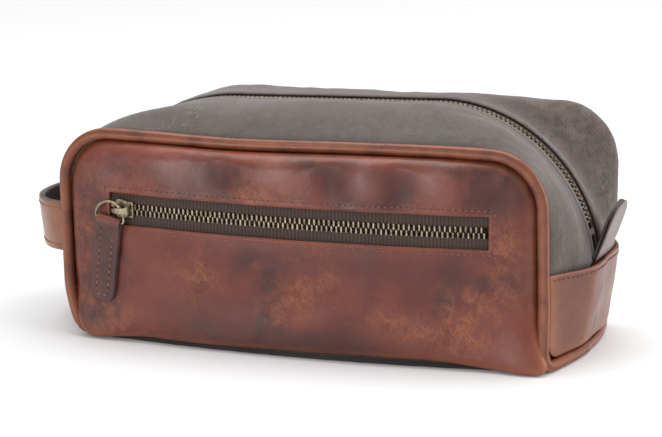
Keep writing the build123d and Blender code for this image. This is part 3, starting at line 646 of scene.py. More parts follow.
def make_panel(name, side, bulge, window, corners, dents, scuffs, stains, blooms, node):
    """One bulged leather panel, its edge rolled in to the seam."""
    low_left, low_right = corners
    grid = panel_grid(window, low_left, low_right)
    width = len(grid[0])
    flat = [place for line in grid for place in line]
    points, wear, scuffed, stained, bloomed = [], [], [], [], []

    def settle(x, z, out):
        """Lower corners sag onto the floor over the base's hem."""
        floor = ramp(abs(x), 62 if x > 0 else 74, 118) if side < 0 else 0.0
        low = 1 - ramp(z, PANEL_LOW, 34)
        z -= (PANEL_LOW - 0.5) * floor * low
        if side < 0:
            z -= (1.3 + 1.2 * bump(x, -58, 40)) * low * (1 - floor)
            out += (3.4 + (3.4 if x < 0 else 2.0) * floor) * low ** 1.3
        if side < 0 and x > 0:
            x += 6.0 * low ** 1.5 * ramp(x, 96, 120)
        moved = sagged((x, side * out, z))
        if side < 0 and x < 0:
            moved = Vector((x + 0.4 * (moved.x - x), side * out, moved.z))
        return moved

    for x, z in flat:
        low = low_left if x < 0 else low_right
        out = panel_bulge(x, z, bulge, low, dents, window)
        points.append(settle(x, z, out))
        d = border_distance(x, z, low)
        rubbed = 0.40 * bump(d, 0.5, 2.6) * (0.5 + 0.5 * ramp(abs(x), 70, 122))
        rubbed += 0.10 * bump(z, 4, 9)
        if window:
            rubbed += 0.20 * bump(window_distance(x, z), 0.0, 1.0)
        wear.append(min(rubbed, 1.0))
        scuffed.append(min(1.0, patches(x, z, scuffs)))
        stained.append(min(0.85, patches(x, z, stains)))
        bloomed.append(patches(x, z, blooms))
    faces = []
    for face in net(len(grid), width, side > 0):
        x, z = (sum(flat[i][k] for i in face) / 4 for k in (0, 1))
        if not (window and WINDOW[0] < x < WINDOW[1] and WINDOW[2] < z < WINDOW[3]):
            faces.append(face)
    rim = list(range(width))
    rim += [i * width + width - 1 for i in range(1, len(grid))]
    rim += [(len(grid) - 1) * width + j for j in reversed(range(width - 1))]
    rim += [i * width for i in reversed(range(1, len(grid) - 1))]
    previous = rim
    for share in (0.35, 0.7, 1.0):
        ring = []
        for index in rim:
            p = points[index]
            ring.append(len(points))
            points.append(Vector((p.x, p.y + (side * RIM_Y - p.y) * share, p.z)))
            wear.append(wear[index])
            scuffed.append(scuffed[index])
            # Painted shade where the leather rolls in to the seam.
            stained.append(max(stained[index], 0.6))
            bloomed.append(0.0)
        for k in range(len(rim)):
            m = (k + 1) % len(rim)
            quad = (previous[k], ring[k], ring[m], previous[m])
            faces.append(quad if side < 0 else tuple(reversed(quad)))
        previous = ring
    obj = make_piece(name, "bag", (points, faces), [FRONT_LEATHER, CUT_EDGE], node, "pullup_leather",
                     wear=wear, scuff=scuffed, stain=stained, bloom=bloomed)
    thicken(obj, LEATHER, rim=1)


make_panel("front_leather", -1, FRONT_BULGE, WINDOW, (10.0, 5.0), FRONT_DENTS, FRONT_SCUFFS, FRONT_STAINS_AND_SHADE,
           FRONT_PAINTED_SHEEN, "front_panel")
make_panel("back_leather", 1, BACK_BULGE, None, (5.0, 5.0), BACK_DENTS, BACK_SCUFFS, BACK_STAINS,
           BACK_PAINTED_SHEEN, "back_panel")


def back_lining():
    """The back's lining hangs just inside the leather and slumps with it."""
    columns, rows = spaced(-112.0, 112.0, 4.0), spaced(12.5, 92.0, 4.0)
    points = [sagged((x, panel_bulge(x, z, BACK_BULGE, 5.0, BACK_DENTS, None) - LEATHER - 0.6, z))
              for z in rows for x in columns]
    skin = points, net(len(rows), len(columns), True)
    thicken(make_piece("back_lining", "bag", skin, [LINING_CLOTH], "lining_back", "lining_cloth"), LINING)


back_lining()


def window_stitching():
    """One row of stitches round the pocket's window."""
    x0, x1, z0, z1 = WINDOW
    m = STITCH_MARGIN
    corners = [(x0 - m, z0 - m, 0), (x1 + m, z0 - m, 0), (x1 + m, z1 + m, 0), (x0 - m, z1 + m, 0)]
    outline = rounded_path(corners, [0.8] * 4, 2.0, closed=True)
    outline.append(outline[0])

    def surface(x, z):
        out = panel_bulge(x, z, FRONT_BULGE, 15.0, FRONT_DENTS, WINDOW)
        return Vector((x, -out, z + top_sag(x) * ramp(z, 72, 100)))

    places = []
    for p in outline:
        here = surface(p.x, p.y)
        normal = (surface(p.x + 1, p.y) - here).cross(surface(p.x, p.y + 1) - here).normalized()
        places.append((here, normal))
    thread_row("window_stitching", "bag", places, SEAM_PITCH, SEAM_THREAD)


window_stitching()


# ---------------------------------------------------------------- piping
def piping_path(start, end):
    """The line the piping follows, from its lap on the right end's base all the way round."""
    px, pz, low = SEAM_HALF - PIPE_R, SEAM_TOP - PIPE_R, PIPE_R
    top, bend = SEAM_CORNER - PIPE_R, PIPE_BASE_BEND
    corners = [(px, start, low), (px, -SEAM_Y, low), (px, -SEAM_Y, pz), (-px, -SEAM_Y, pz),
               (-px, -SEAM_Y, low), (-px, SEAM_Y, low), (-px, SEAM_Y, pz), (px, SEAM_Y, pz),
               (px, SEAM_Y, low), (px, end, low)]
    radii = [0, bend, top, top, bend, bend, top, top, bend, 0]
    path = []
    for p in rounded_path(corners, radii, 2.2):
        if p.x > 0:
            p.x += base_bow(p.y) * (1 - ramp(p.z, PIPE_R, 12))
        path.append(sagged(p))
    return path


def piping():
    """Leather cover with a crease along it and lapped ends, over a cotton cord. The crease and the side
    tucked in to the seam carry painted shade, and two painted highlight bands run beside the crease.
    """
    core_path = piping_path(-4.0, -1.0)
    core = []
    for p, t in zip(core_path, tangents(core_path)):
        side = t.orthogonal().normalized() if not core else (side - t * side.dot(t)).normalized()
        core.append(circle(p, side * CORD_R, t.cross(side) * CORD_R, 8))
    make_piece("piping_core", "bag", loft(core), [PIPING_CORD], "piping_cord", "cotton_cord")
    path = piping_path(-1.0, -5.0)
    count = len(path)
    rings, wear, stain = [], [], []
    sides = 28
    carried = Vector((1, 0, 0))
    for i, (p, t) in enumerate(zip(path, tangents(path))):
        carried = (carried - t * carried.dot(t)).normalized()
        other = t.cross(carried)
        flat = 1 - abs(t.y)
        away = Vector((p.x, 0, p.z - 50)).normalized() * 0.72 + Vector((0, math.copysign(0.7, p.y), 0)) * flat
        away = (away - t * away.dot(t)).normalized()
        facing = math.atan2(away.dot(other), away.dot(carried))
        end = min(i, count - 1 - i) / 2.0
        girth = PIPE_R
        if i < count / 2:
            girth *= 1.05 * math.sqrt(max(0.02, 1 - max(0, 1 - end) ** 2))
        else:
            girth *= 0.86 + 0.14 * ramp(end, 2, 10)
        girth *= 1 + 0.025 * rumple(p, 16.0)
        ring = []
        for k in range(sides):
            w = math.tau * k / sides
            gap = (w - facing + math.pi) % math.tau - math.pi
            r = girth * (1 - 0.11 * math.exp(-(gap / 0.20) ** 2))
            ring.append(p + (carried * math.cos(w) + other * math.sin(w)) * r)
            # Painted shade in the crease and on the side tucked in to the seam; two painted highlight bands
            # beside the crease.
            stain.append(0.5 * math.exp(-(gap / 0.22) ** 2) + 0.5 * ramp(abs(gap), 1.2, 1.9))
            wear.append(0.35 * bump(abs(gap), 0.62, 0.25))
        rings.append(ring)
    make_piece("piping", "bag", loft(rings), [PIPING_LEATHER], "piping_cover", "piping_leather",
               wear=wear, stain=stain, scuff=0.15)


piping()


# ---------------------------------------------------------------- arched canvas gusset
def arch_points(section, foot, foot_x, count):
    """Evenly spread points along one arch, from the left foot over the top to the right foot."""
    (lx, lz, lr), (rx, rz, rr) = section
    tilt = math.asin(((rz + rr) - (lz + lr)) / (rx - lx))
    top = math.pi / 2 + tilt
    left = math.pi - math.asin((max(lz, END_TOP + 1) - lz) / lr)
    right = math.asin((max(rz, END_TOP + 1) - rz) / rr)
    line = [Vector((-foot_x, 0, foot))]
    line += [Vector((lx + lr * math.cos(a), 0, lz + lr * math.sin(a))) for a in
             steps(left, top, 40)]
    line += [Vector((rx + rr * math.cos(a), 0, rz + rr * math.sin(a))) for a in
             steps(top, right, 40)]
    line.append(Vector((foot_x, 0, foot)))
    along = [0.0]
    for a, b in zip(line, line[1:]):
        along.append(along[-1] + (b - a).length)
    result, i = [], 0
    for k in range(count):
        goal = along[-1] * k / (count - 1)
        while i < len(line) - 2 and along[i + 1] < goal:
            i += 1
        t = (goal - along[i]) / (along[i + 1] - along[i])
        result.append(line[i].lerp(line[i + 1], t))
    return result


def between(values, at, x):
    """Smooth value through stations (Catmull-Rom with end slopes)."""
    i = 0
    while i < len(at) - 2 and x > at[i + 1]:
        i += 1
    h = at[i + 1] - at[i]
    t = (x - at[i]) / h

    def slope(k):
        a, b = max(k - 1, 0), min(k + 1, len(at) - 1)
        return (values[b] - values[a]) / (at[b] - at[a])

    p0, p1, m0, m1 = values[i], values[i + 1], slope(i) * h, slope(i + 1) * h
    return (p0 * (2 * t ** 3 - 3 * t ** 2 + 1) + m0 * (t ** 3 - 2 * t ** 2 + t)
            + p1 * (3 * t ** 2 - 2 * t ** 3) + m1 * (t ** 3 - t ** 2))


GUSSET_COUNT = 190
GUSSET_FOOT = 36.0


def make_gusset(name, side, node, inset=0.0):
    """Half of the arched gusset: a shell that swells between the zip and the seam. The canvas has no
    inset; the lining hangs the same way, an inset further in."""
    first = 6 if inset else 0
    shoulder = (SHOULDER, SHOULDER_FOOT) if side < 0 else (REAR_SHOULDER, REAR_SHOULDER_FOOT)
    arches = [arch_points(section, GUSSET_FOOT, foot_x, GUSSET_COUNT)
              for section, foot_x in ((CROWN, CROWN_FOOT), (CROWN, CROWN_FOOT), shoulder, (EDGE, EDGE_FOOT))]
    stations = (CANVAS_ZIP_EDGE, 15.0, 28.5, RIM_Y)
    depths = [CANVAS_ZIP_EDGE + d for d in (0, 0.25, 0.8, 1.8, 3.2, 4.4, 5.0, 5.6, 6.6, 8.2)]
    depths += spaced(CANVAS_ZIP_EDGE + 10, RIM_Y - 3, 1.5) + [RIM_Y - 2, RIM_Y - 1, RIM_Y, RIM_Y + 1.2]
    rings, wear, stain = [], [], []
    for i in range(GUSSET_COUNT):
        a, b = arches[0][max(i - 1, 0)], arches[0][min(i + 1, GUSSET_COUNT - 1)]
        along = (b - a).normalized()
        outward = Vector((-along.z, 0, along.x))
        ring = []
        for depth in depths[first:]:
            p = between([arch[i] for arch in arches], stations, depth)
            p = Vector((p.x, side * depth, p.z))
            share = (depth - CANVAS_ZIP_EDGE) / (RIM_Y - CANVAS_ZIP_EDGE)
            free = math.sin(math.pi * min(1, max(0, share))) ** 0.7
            lift = 0.9 * free
            # On the left shoulder the front half puffs up past the zip and the rear half slumps.
            high = ramp(p.z, 70, 95)
            if side < 0:
                lift += (2.6 * bump(p.x, -104, 13) * bump(depth, 16, 9)
                         + 1.6 * bump(p.x, -113, 16) * bump(depth, 33, 9)
                         - 2.0 * bump(p.x, -80, 11) * bump(depth, 32, 10)) * high
            else:
                # The slump starts past the zip's tape and hands over to the seam's own sag.
                lift -= 9.5 * bump(p.x, -97, 21) * ramp(depth, 14.5, 27) * (1 - ramp(depth, 33, RIM_Y)) * high
            lift += (0.9 * rumple(p + Vector((0, 40, 0)), 44.0) + 0.3 * rumple(p, 15.0)) * free
            # Creases that run beside the zip and beside the seam.
            waver = 1.2 * math.sin(i * 0.11)
            right = ramp(p.x, 30, 90)
            crease = 0.55 * bump(depth, 21 + waver, 1.6) * right * (0.4 + 0.6 * abs(rumple(p, 30)))
            crease += 0.7 * bump(depth, 34 + waver, 1.5) * right * (1 if side > 0 else 0.3)
            lift += crease
            # The turned-in edge by the zip is two layers thick.
            lift += 0.35 * (1 - ramp(depth, CANVAS_ZIP_EDGE + 4.2, CANVAS_ZIP_EDGE + 5.2))
            lift -= 0.5 * bump(depth, CANVAS_ZIP_EDGE, 0.35)
            tuck = ramp(depth, RIM_Y - 4, RIM_Y)
            lift -= 0.8 * tuck + inset
            p = p + outward * lift
            if depth > 30:
                p = p.lerp(sagged(p), ramp(depth, 28, RIM_Y - 1))
            ring.append(p)
            rubbed = 1.2 * crease + 0.12 * bump(depth, CANVAS_ZIP_EDGE + 1, 1.2)
            if side > 0:
                rubbed += 0.30 * ramp(p.x, 78, 108) * (0.6 + 0.6 * rumple(p, 22.0))
            wear.append(max(0, min(1, rubbed)))
            # Painted shade: darker where the canvas tucks in to the seam, in a line past the turned-in edge's
            # step, and low down where it passes behind the end panels.
            stain.append(min(0.8, 0.8 * tuck + 0.35 * bump(depth, CANVAS_ZIP_EDGE + 5.3, 0.6)
                             + 0.6 * (1 - ramp(p.z, END_TOP - 2, END_TOP + 3))))
        rings.append(ring)
    skin = loft(rings, tube=False, flip=side < 0)
    if inset:
        thicken(make_piece(name, "bag", skin, [LINING_CLOTH], node, "lining_cloth"), LINING)
        return
    obj = make_piece(name, "bag", skin, [CANVAS_CLOTH], node, "waxed_canvas", wear=wear, stain=stain)
    thicken(obj, CANVAS)


make_gusset("gusset_canvas_front", -1, "gusset_front")
make_gusset("gusset_canvas_rear", 1, "gusset_rear")
make_gusset("gusset_lining_front", -1, "lining_gusset_front", 2.3)
make_gusset("gusset_lining_rear", 1, "lining_gusset_rear", 2.3)


# ---------------------------------------------------------------- base
def base():
    """Canvas base with a doubled hem that shows under the leather."""
    def outline(inset, half):
        front, back = [], []
        for x in steps(-half, half, 60):
            round_off = 7.0 * (abs(x) / half) ** 14
            bow = x * x / (2 * PANEL_PLAN_R)
            front.append((x, -(FRONT_BULGE - 4.6 - inset - bow - round_off)))
            back.append((x, BACK_BULGE - 9.0 - inset - bow - round_off))
        first, last = front[-1][1] + 6, back[-1][1] - 6
        right = [(half + base_bow(y) - 2.0, y) for y in steps(first, last, 14)]
        return front + right + back[::-1]

    levels = ((0.9, 0.0), (0.15, 0.25), (0.0, 0.7), (0.0, 1.7), (0.35, 1.95), (0.35, 2.15), (0.05, 2.4),
              (0.0, 3.2), (0.3, 3.8), (2.0, 4.0), (5.0, 4.05))
    rings = []
    for inset, z in levels:
        rings.append([sagged((x, y + 0.12 * math.sin(x * 0.7 + z), z + 0.1 * (z > 0.2) * math.sin(x * 0.31)))
                      for x, y in outline(inset, PANEL_HALF - inset * 0.3)])
    heights = [p.z for ring in rings for p in ring]
    # A lighter line along the hem's upper edge, and painted shade in the hem's groove.
    make_piece("base_canvas_hem", "bag", loft(rings, flip=True), [SHADED_BASE_CANVAS], "base_panel", "waxed_canvas",
               wear=[0.35 * bump(z, 3.4, 0.5) for z in heights],
               stain=[0.5 * bump(z, 2.05, 0.25) for z in heights])


base()


# ---------------------------------------------------------------- end panels
def end_x(y, z, bulge):
    """How far an end panel stands out, with soft creases beside its flat middle."""
    rise = (z - END_LOW) / (END_TOP - END_LOW)
    at_z = END_BASE_BULGE + (bulge - END_BASE_BULGE) * (rise ** 0.75 if rise > 0 else 0)
    away = (abs(y) - END_FACET) / (RIM_Y - END_FACET)
    if y > 0:
        away = max(away, 0.0) ** 2.1
    soft = 0.10
    fall = (away + math.sqrt(away * away + soft * soft)) / 2
    start = (-END_FACET / (RIM_Y - END_FACET) + math.hypot(END_FACET / (RIM_Y - END_FACET), soft)) / 2
    seam = SEAM_HALF - 0.6
    return seam + (at_z - seam) * max(0.0, 1 - (fall - start))


def make_end(name, sign, bulge, node):
    """An end panel that swells between its seams, with a stitched hem along its top."""
    def hem(y):
        return END_TOP + (1.2 * ramp(y, -10, 40) - 0.8 * bump(abs(y), 22, 10)) * (1 if sign > 0 else 0.4)

    rows, columns, corner = 34, 58, 9.0
    points, wear, stain = [], [], []
    for share in steps(0, 1, rows - 1):
        for j, y in enumerate(steps(-RIM_Y, RIM_Y, columns - 1)):
            edge = max(abs(y) - (RIM_Y - corner), 0)
            low = END_LOW + corner - math.sqrt(max(corner ** 2 - edge ** 2, 0))
            high = hem(y)
            z = low + (high - low) * (1 - (1 - share) ** 1.15)
            x = end_x(y, z, bulge)
            free = math.sin(math.pi * share) * math.sin(math.pi * j / (columns - 1))
            x += 0.7 * free * rumple((y, z, bulge), 26.0) - 0.7 * bump(z, low, 2.2)
            x -= 0.28 * bump(high - z, HEM_TO_STITCHES, 0.7)
            points.append(sagged((sign * x, y, z)))
            rubbed = 0.5 * bump(abs(y), RIM_Y, 5) + 0.35 * bump(z, high, 1.2) + 0.5 * bump(z, low, 5)
            wear.append(min(1, rubbed + 0.3 * bump(abs(y), END_FACET, 2.5)))
            stain.append(0.25 * bump(abs(y), 30, 8))
    skin = points, net(rows, columns, sign < 0)
    obj = make_piece(name, "bag", skin, [END_LEATHER, CUT_EDGE], node, "pullup_leather", wear=wear,
                     stain=stain, scuff=0.15)
    thicken(obj, LEATHER, rim=1)
    modify(obj, "SUBSURF", levels=1, render_levels=1)
    places = []
    for y in spaced(-RIM_Y + 2.5, RIM_Y - 2.5, 3.0):
        z = hem(y) - HEM_TO_STITCHES
        slope = (end_x(y + 1, z, bulge) - end_x(y - 1, z, bulge)) / 2
        places.append((Vector((sign * (end_x(y, z, bulge) - 0.2), y, z)),
                       Vector((sign, -slope, -0.2)).normalized()))
    thread_row(name.replace("leather", "stitching"), "bag", places, SEAM_PITCH, SEAM_THREAD)


make_end("end_leather_right", 1, END_BULGE_RIGHT, "end_panel_right")
make_end("end_leather_left", -1, END_BULGE_LEFT, "end_panel_left")


# ---------------------------------------------------------------- straps: tabs and the carrying loop
def strap_rings(path, side, normals, halves, thickness, relief, columns, round_edge=0.35):
    """Rings of a flat strap with rounded edges. side points across it, and relief is how deep its
    face dips at a ring and a distance from the middle."""
    rings = []
    for i, (p, normal, half) in enumerate(zip(path, normals, halves)):
        top, bottom = [], []
        for a in steps(-half, half, columns):
            near = min(half - abs(a), round_edge) / round_edge
            b = thickness / 2 - round_edge * 0.5 * (1 - near)
            top.append(p + side * a + normal * (b - relief(i, a)))
            bottom.append(p + side * a - normal * b)
        rim = side * (half + 0.12)
        rings.append(top + [p + rim] + bottom[::-1] + [p - rim])
    return rings


def round_ends(half, corner, reaches):
    """Half widths of a strap with a rounded end, from distances to that end."""
    return [half if reach >= corner else
            half - corner + math.sqrt(max(corner ** 2 - (corner - reach) ** 2, 0.0)) for reach in reaches]


def strap(name, body, place, rings, material, node, slot, wear=0.0, stain=0.0):
    """A strap from its rings, put in place. Its rims are painted. wear may be a number for each ring."""
    points, faces = loft([[place @ p for p in ring] for ring in rings])
    n = len(rings[0])
    top = (n - 2) // 2
    mats = []
    for face in faces:
        columns = {index % n for index in face}
        mats.append(int(len(face) > 4 or top in columns or n - 1 in columns))
    if isinstance(wear, list):
        wear = [wear[i // n] for i in range(len(points))]
    make_piece(name, body, (points, faces), [material, EDGE_PAINT], node, slot, mats, wear=wear, stain=stain,
               scuff=0.1)


def folded_tab(name, body, place, node):
    """Leather strip folded round the ring's bar and stitched to itself. place puts its own frame,
    whose bar is X through the origin, whose length is -Y and whose outside is +Z, on the bag."""
    lay = TAB_LAYER / 2 + 0.04
    wrap = RING_WIRE + 0.1 + TAB_LAYER / 2
    front = [(v, lay) for v in spaced(-TAB_LENGTH, -4.5, 1.0)] + [(-3.2, lay + 0.08), (-2.1, lay + 0.38)]
    turn = [(-wrap * math.cos(a), wrap * math.sin(a)) for a in (math.radians(d) for d in range(50, 311, 13))]
    line = front + turn + [(v, -w) for v, w in reversed(front)]
    path = [Vector((0, v, w)) for v, w in line]

    def channel(i, a):
        """The rows of stitches pull a shallow channel."""
        return 0.0 if line[i][0] > -3.0 else 0.22 * bump(abs(a), TAB_ROW, 0.75) - 0.06

    rings = strap_rings(path, Vector((1, 0, 0)), [Vector((0, -t.z, t.y)) for t in tangents(path)],
                        round_ends(TAB_HALF, 5.5, [v + TAB_LENGTH for v, _ in line]), TAB_LAYER, channel, 26)
    # The fold is stretched, and shows the hide's brighter colour.
    fresh = [0.55 if 0 <= i - len(front) <= len(turn) else 0.06 for i in range(len(path))]
    strap(name, body, place, rings, TAB_LEATHER, node, "dark_leather", wear=fresh)
    row = [Vector((-TAB_ROW, v, 0)) for v in spaced(-5.0, -TAB_LENGTH + 5.0, -1.5)]
    end = [Vector((TAB_ROW * math.sin(a), -TAB_LENGTH + 5.0 - 1.6 * math.cos(a), 0)) for a in
           (math.radians(d) for d in range(-75, 76, 15))]
    outer = Matrix(place).to_3x3() @ Vector((0, 0, 1))
    places = [(place @ (p + Vector((0, 0, lay + TAB_LAYER / 2 - 0.16))), outer)
              for p in row + end + [Vector((-p.x, p.y, 0)) for p in reversed(row)]]
    thread_row(name + "_stitching", body, places, 3.4, TAB_THREAD, radius=0.36, share=0.5)


def wire_ring(name, body, place, node):
    """D-shaped wire ring in its own XY plane: the bar is on X through the origin, the arc above."""
    arc = [Vector((RING_R * math.cos(a), RING_BEND + RING_R * math.sin(a), 0)) for a in steps(0, math.pi, 40)]
    corner = [Vector((-RING_R + RING_BEND * (1 - math.cos(a)), RING_BEND * (1 - math.sin(a)), 0))
              for a in steps(0, math.pi / 2, 6)[1:]]
    bar = [Vector((x, 0, 0)) for x in spaced(RING_BEND - RING_R, RING_R - RING_BEND, 1.0)[1:-1]]
    path = arc + corner + bar + [Vector((-p.x, p.y, 0)) for p in reversed(corner)][:-1]
    rings = []
    for p, t in zip(path, tangents(path, closed=True)):
        ring = circle(p, Vector((-t.y, t.x, 0)) * RING_WIRE, Vector((0, 0, RING_WIRE)), 14)
        rings.append([place @ q for q in ring])
    make_piece(name, body, loft(rings, closed=True), [PULL_BRASS], node, "antique_brass")


def bent_strip(profile, thickness):
    """Rings of a bent strip with chamfered edges. profile is (along, up, half width) at each ring."""
    path = [Vector((a, 0, b)) for a, b, _ in profile]
    section = ((-1, -0.6), (-0.8, -1), (0.8, -1), (1, -0.6), (1, 0.6), (0.8, 1), (-0.8, 1), (-1, 0.6))
    rings = []
    for p, t, (_, _, half) in zip(path, tangents(path), profile):
        normal = Vector((-t.z, 0, t.x)) * thickness / 2
        rings.append([p + Vector((0, y * half, 0)) + normal * z for y, z in section])
    return rings


def zip_slider(name, body, place, node):
    """Slider in its own frame: X the way it opens, Z outwards, the chain's middle at the origin."""
    outline = [(-5.2, -2.6), (-4.7, -4.3), (-3.6, -4.9), (-1.2, -4.9), (1.6, -4.1), (5.2, -4.0)]
    outline += [(x, -y) for x, y in reversed(outline)]
    parts = []
    for low, high in ((1.5, 2.4), (-2.4, -1.5)):
        levels = ((0.35, low), (0.0, low + 0.2), (0.0, high - 0.25), (0.45, high))
        parts.append([[Vector((x * (1 - inset / 5.2), y * (1 - inset / 4.5), z)) for x, y in outline]
                      for inset, z in levels])
    for side in (-1, 1):
        for low, high in ((0.75, 1.7), (-1.7, -0.75)):
            flange = ((3.3, low), (4.0, low), (4.1, high), (3.3, high))
            parts.append([[Vector((x, side * y, z)) for y, z in flange] for x in (-1.0, 2.0, 5.1)])
    divider = ((-4.6, 0), (-3.2, -0.15), (-1.6, 0), (-3.2, 0.15))
    parts.append([[Vector((x, y, z)) for x, y in divider] for z in (-2.2, 0.0, 2.2)])
    bridge = ((-4.5, 2.2, 2.5), (-4.35, 3.2, 2.3), (-4.0, 4.6, 1.9), (-3.4, 5.9, 1.6), (-2.4, 6.5, 1.5),
              (-1.0, 6.72, 1.5), (0.4, 6.74, 1.5), (1.8, 6.6, 1.6), (2.9, 6.2, 1.9), (3.55, 5.2, 2.3),
              (3.8, 4.0, 2.7), (3.95, 2.9, 3.0), (4.0, 2.2, 3.2))
    parts.append(bent_strip(bridge, 0.85))
    points, faces = joined([loft(part) for part in parts])
    obj = make_piece(name, body, ([place @ p for p in points], faces), [PULL_BRASS], node, "antique_brass",
                     smooth=False)
    modify(obj, "BEVEL", width=0.22 * MM, segments=2, limit_method="ANGLE", angle_limit=math.radians(25))


def tooth_mesh(place, side):
    """One zip tooth clamped on the tape: shank, shoulders and a rounded head past the middle."""
    outline = ((0.42, 2.9), (0.56, 2.2), (0.54, 1.2), (0.60, 0.75), (0.50, 0.25), (0.26, -0.12))
    loop = [*outline] + [(-x, y) for x, y in reversed(outline)]
    rings = []
    for shrink, z in ((0.75, -1.1), (1.0, -0.85), (1.0, 0.75), (0.72, 1.12)):
        rings.append([place @ Vector((x * shrink, side * (1.5 + (y - 1.5) * (0.86 + 0.14 * shrink)), z))
                      for x, y in loop])
    return loft(rings)


def teeth(name, places, side, node):
    skin = joined([tooth_mesh(place, side) for place in places])
    make_piece(name, "bag", skin, [TOOTH_BRASS], node, "antique_brass", smooth=False)


def frame_at(origin, x_axis, z_axis):
    """A 4x4 in millimetres from an origin and two axes."""
    x, z = Vector(x_axis).normalized(), Vector(z_axis).normalized()
    y = z.cross(x)
    return Matrix.Translation(origin) @ Matrix((x, y, z)).transposed().to_4x4()


# Pocket zip
def pocket_place(x):
    drop = POCKET_ZIP_Z - PANEL_MID_Z
    radius = PANEL_PLAN_R - PANEL_RISE_R + math.sqrt((PANEL_RISE_R - POCKET_CHAIN_INSET) ** 2 - drop ** 2)
    angle = math.asin(x / radius)
    axis_y = PANEL_PLAN_R - FRONT_BULGE
    origin = Vector((x, axis_y - radius * math.cos(angle), POCKET_ZIP_Z))
    return frame_at(origin, (math.cos(angle), math.sin(angle), 0), (math.sin(angle), -math.cos(angle), 0))


chain_start = WINDOW[0] + POCKET_TEETH_FROM
pocket_count = int((WINDOW[1] - chain_start) / ZIP_PITCH)
teeth("pocket_teeth_top_row", [pocket_place(chain_start + i * ZIP_PITCH) for i in range(pocket_count)], 1,
      "pocket_teeth_upper")
teeth("pocket_teeth_bottom_row",
      [pocket_place(chain_start + (i + 0.5) * ZIP_PITCH) for i in range(pocket_count)], -1,
      "pocket_teeth_lower")
slider_place = pocket_place(POCKET_SLIDER_X)
zip_slider("pocket_zip_slider", "pocket_slider_body", slider_place, "pocket_slider")
offset = Vector((-RING_R * math.cos(RING_CROSSING), -RING_BEND - RING_R * math.sin(RING_CROSSING), 0))
pull_place = (slider_place @ Matrix.Translation((0, 0, RING_LIFT))
              @ Matrix.Rotation(math.radians(-PULL_TILT), 4, "Z")
              @ Matrix.Rotation(math.radians(PULL_LEAN), 4, "X") @ Matrix.Translation(offset))
wire_ring("pocket_wire_ring", "pocket_ring_body", pull_place, "pocket_pull_ring")
folded_tab("pocket_leather_pull", "pocket_tab_body", pull_place, "pocket_pull_tab")


# Main zip
def main_place(distance):
    (lx, lz, lr), (rx, rz, rr) = CROWN
    lr, rr = lr - ZIP_INSET, rr - ZIP_INSET
    tilt = math.asin(((rz + rr) - (lz + lr)) / (rx - lx))
    start = math.pi - math.asin((MAIN_ZIP_END - lz) / lr)
    top = math.pi / 2 + tilt
    left_arc, line = lr * (start - top), (rx - lx) * math.cos(tilt)
    if distance < left_arc:
        angle = start - distance / lr
        origin = Vector((lx + lr * math.cos(angle), 0, lz + lr * math.sin(angle)))
    elif distance < left_arc + line:
        angle = top
        run = distance - left_arc
        origin = Vector((lx + lr * math.cos(top) + run * math.cos(tilt), 0,
                         lz + lr * math.sin(top) + run * math.sin(tilt)))
    else:
        angle = top - (distance - left_arc - line) / rr
        origin = Vector((rx + rr * math.cos(angle), 0, rz + rr * math.sin(angle)))
    return frame_at(origin, (math.sin(angle), 0, -math.cos(angle)), (math.cos(angle), 0, math.sin(angle)))


main_count = 0
while main_count < 20 or main_place((main_count + 0.5) * ZIP_PITCH).translation.z > MAIN_ZIP_END:
    main_count += 1
teeth("main_teeth_front_row", [main_place((i + 0.5) * ZIP_PITCH) for i in range(main_count)], -1,
      "main_teeth_front")
teeth("main_teeth_rear_row", [main_place((i + 1) * ZIP_PITCH) for i in range(main_count - 1)], 1,
      "main_teeth_rear")
main_slider_place = main_place(MAIN_SLIDER_AT)
zip_slider("main_zip_slider", "main_slider_body", main_slider_place, "main_slider")


def hanging(origin, degrees):
    """Frame of a piece that hangs from a bar along Y at the left end, leaning out."""
    lean = math.radians(degrees)
    return frame_at(origin, (0, -1, 0), (-math.cos(lean), 0, math.sin(lean)))


crossing = main_slider_place @ Vector((0, 0, RING_LIFT))
main_bar = hanging(crossing, MAIN_RING_LEAN) @ Vector((0, -RING_R - RING_BEND, 0))
wire_ring("main_wire_ring", "main_ring_body", hanging(main_bar, MAIN_RING_LEAN), "main_pull_ring")
folded_tab("main_leather_pull", "main_tab_body", hanging(main_bar, MAIN_TAB_LEAN), "main_pull_tab")


# ---------------------------------------------------------------- grab tab
def grab_tab():
    """Two leather layers that stand out behind the end panel's top edge."""
    place = (Matrix.Translation((GRAB_PIVOT[0], 0, GRAB_PIVOT[1]))
             @ Matrix.Rotation(math.radians(GRAB_LEAN), 4, "Y"))
    heights = spaced(-0.6, GRAB_LENGTH, 1.1)
    halves = round_ends(GRAB_HALF, GRAB_HALF - 1.2, [GRAB_LENGTH - h for h in heights])
    for name, node, offset, bow in (("grab_leather_outer", "grab_tab_outer", 0.66, 0.25),
                                    ("grab_leather_inner", "grab_tab_inner", -0.66, -0.15)):
        path = [Vector((offset + bow * math.sin(math.pi * max(h, 0) / GRAB_LENGTH), 0, h)) for h in heights]
        rings = strap_rings(path, Vector((0, 1, 0)), [Vector((1, 0, 0))] * len(path), halves, 1.3,
                            lambda i, a: 0.18 * bump(halves[i] - abs(a), 2.4, 0.7), 24)
        strap(name, "grab_tab_body", place, rings, GREYED_GRAB_LEATHER, node, "dark_leather", stain=0.15)


grab_tab()


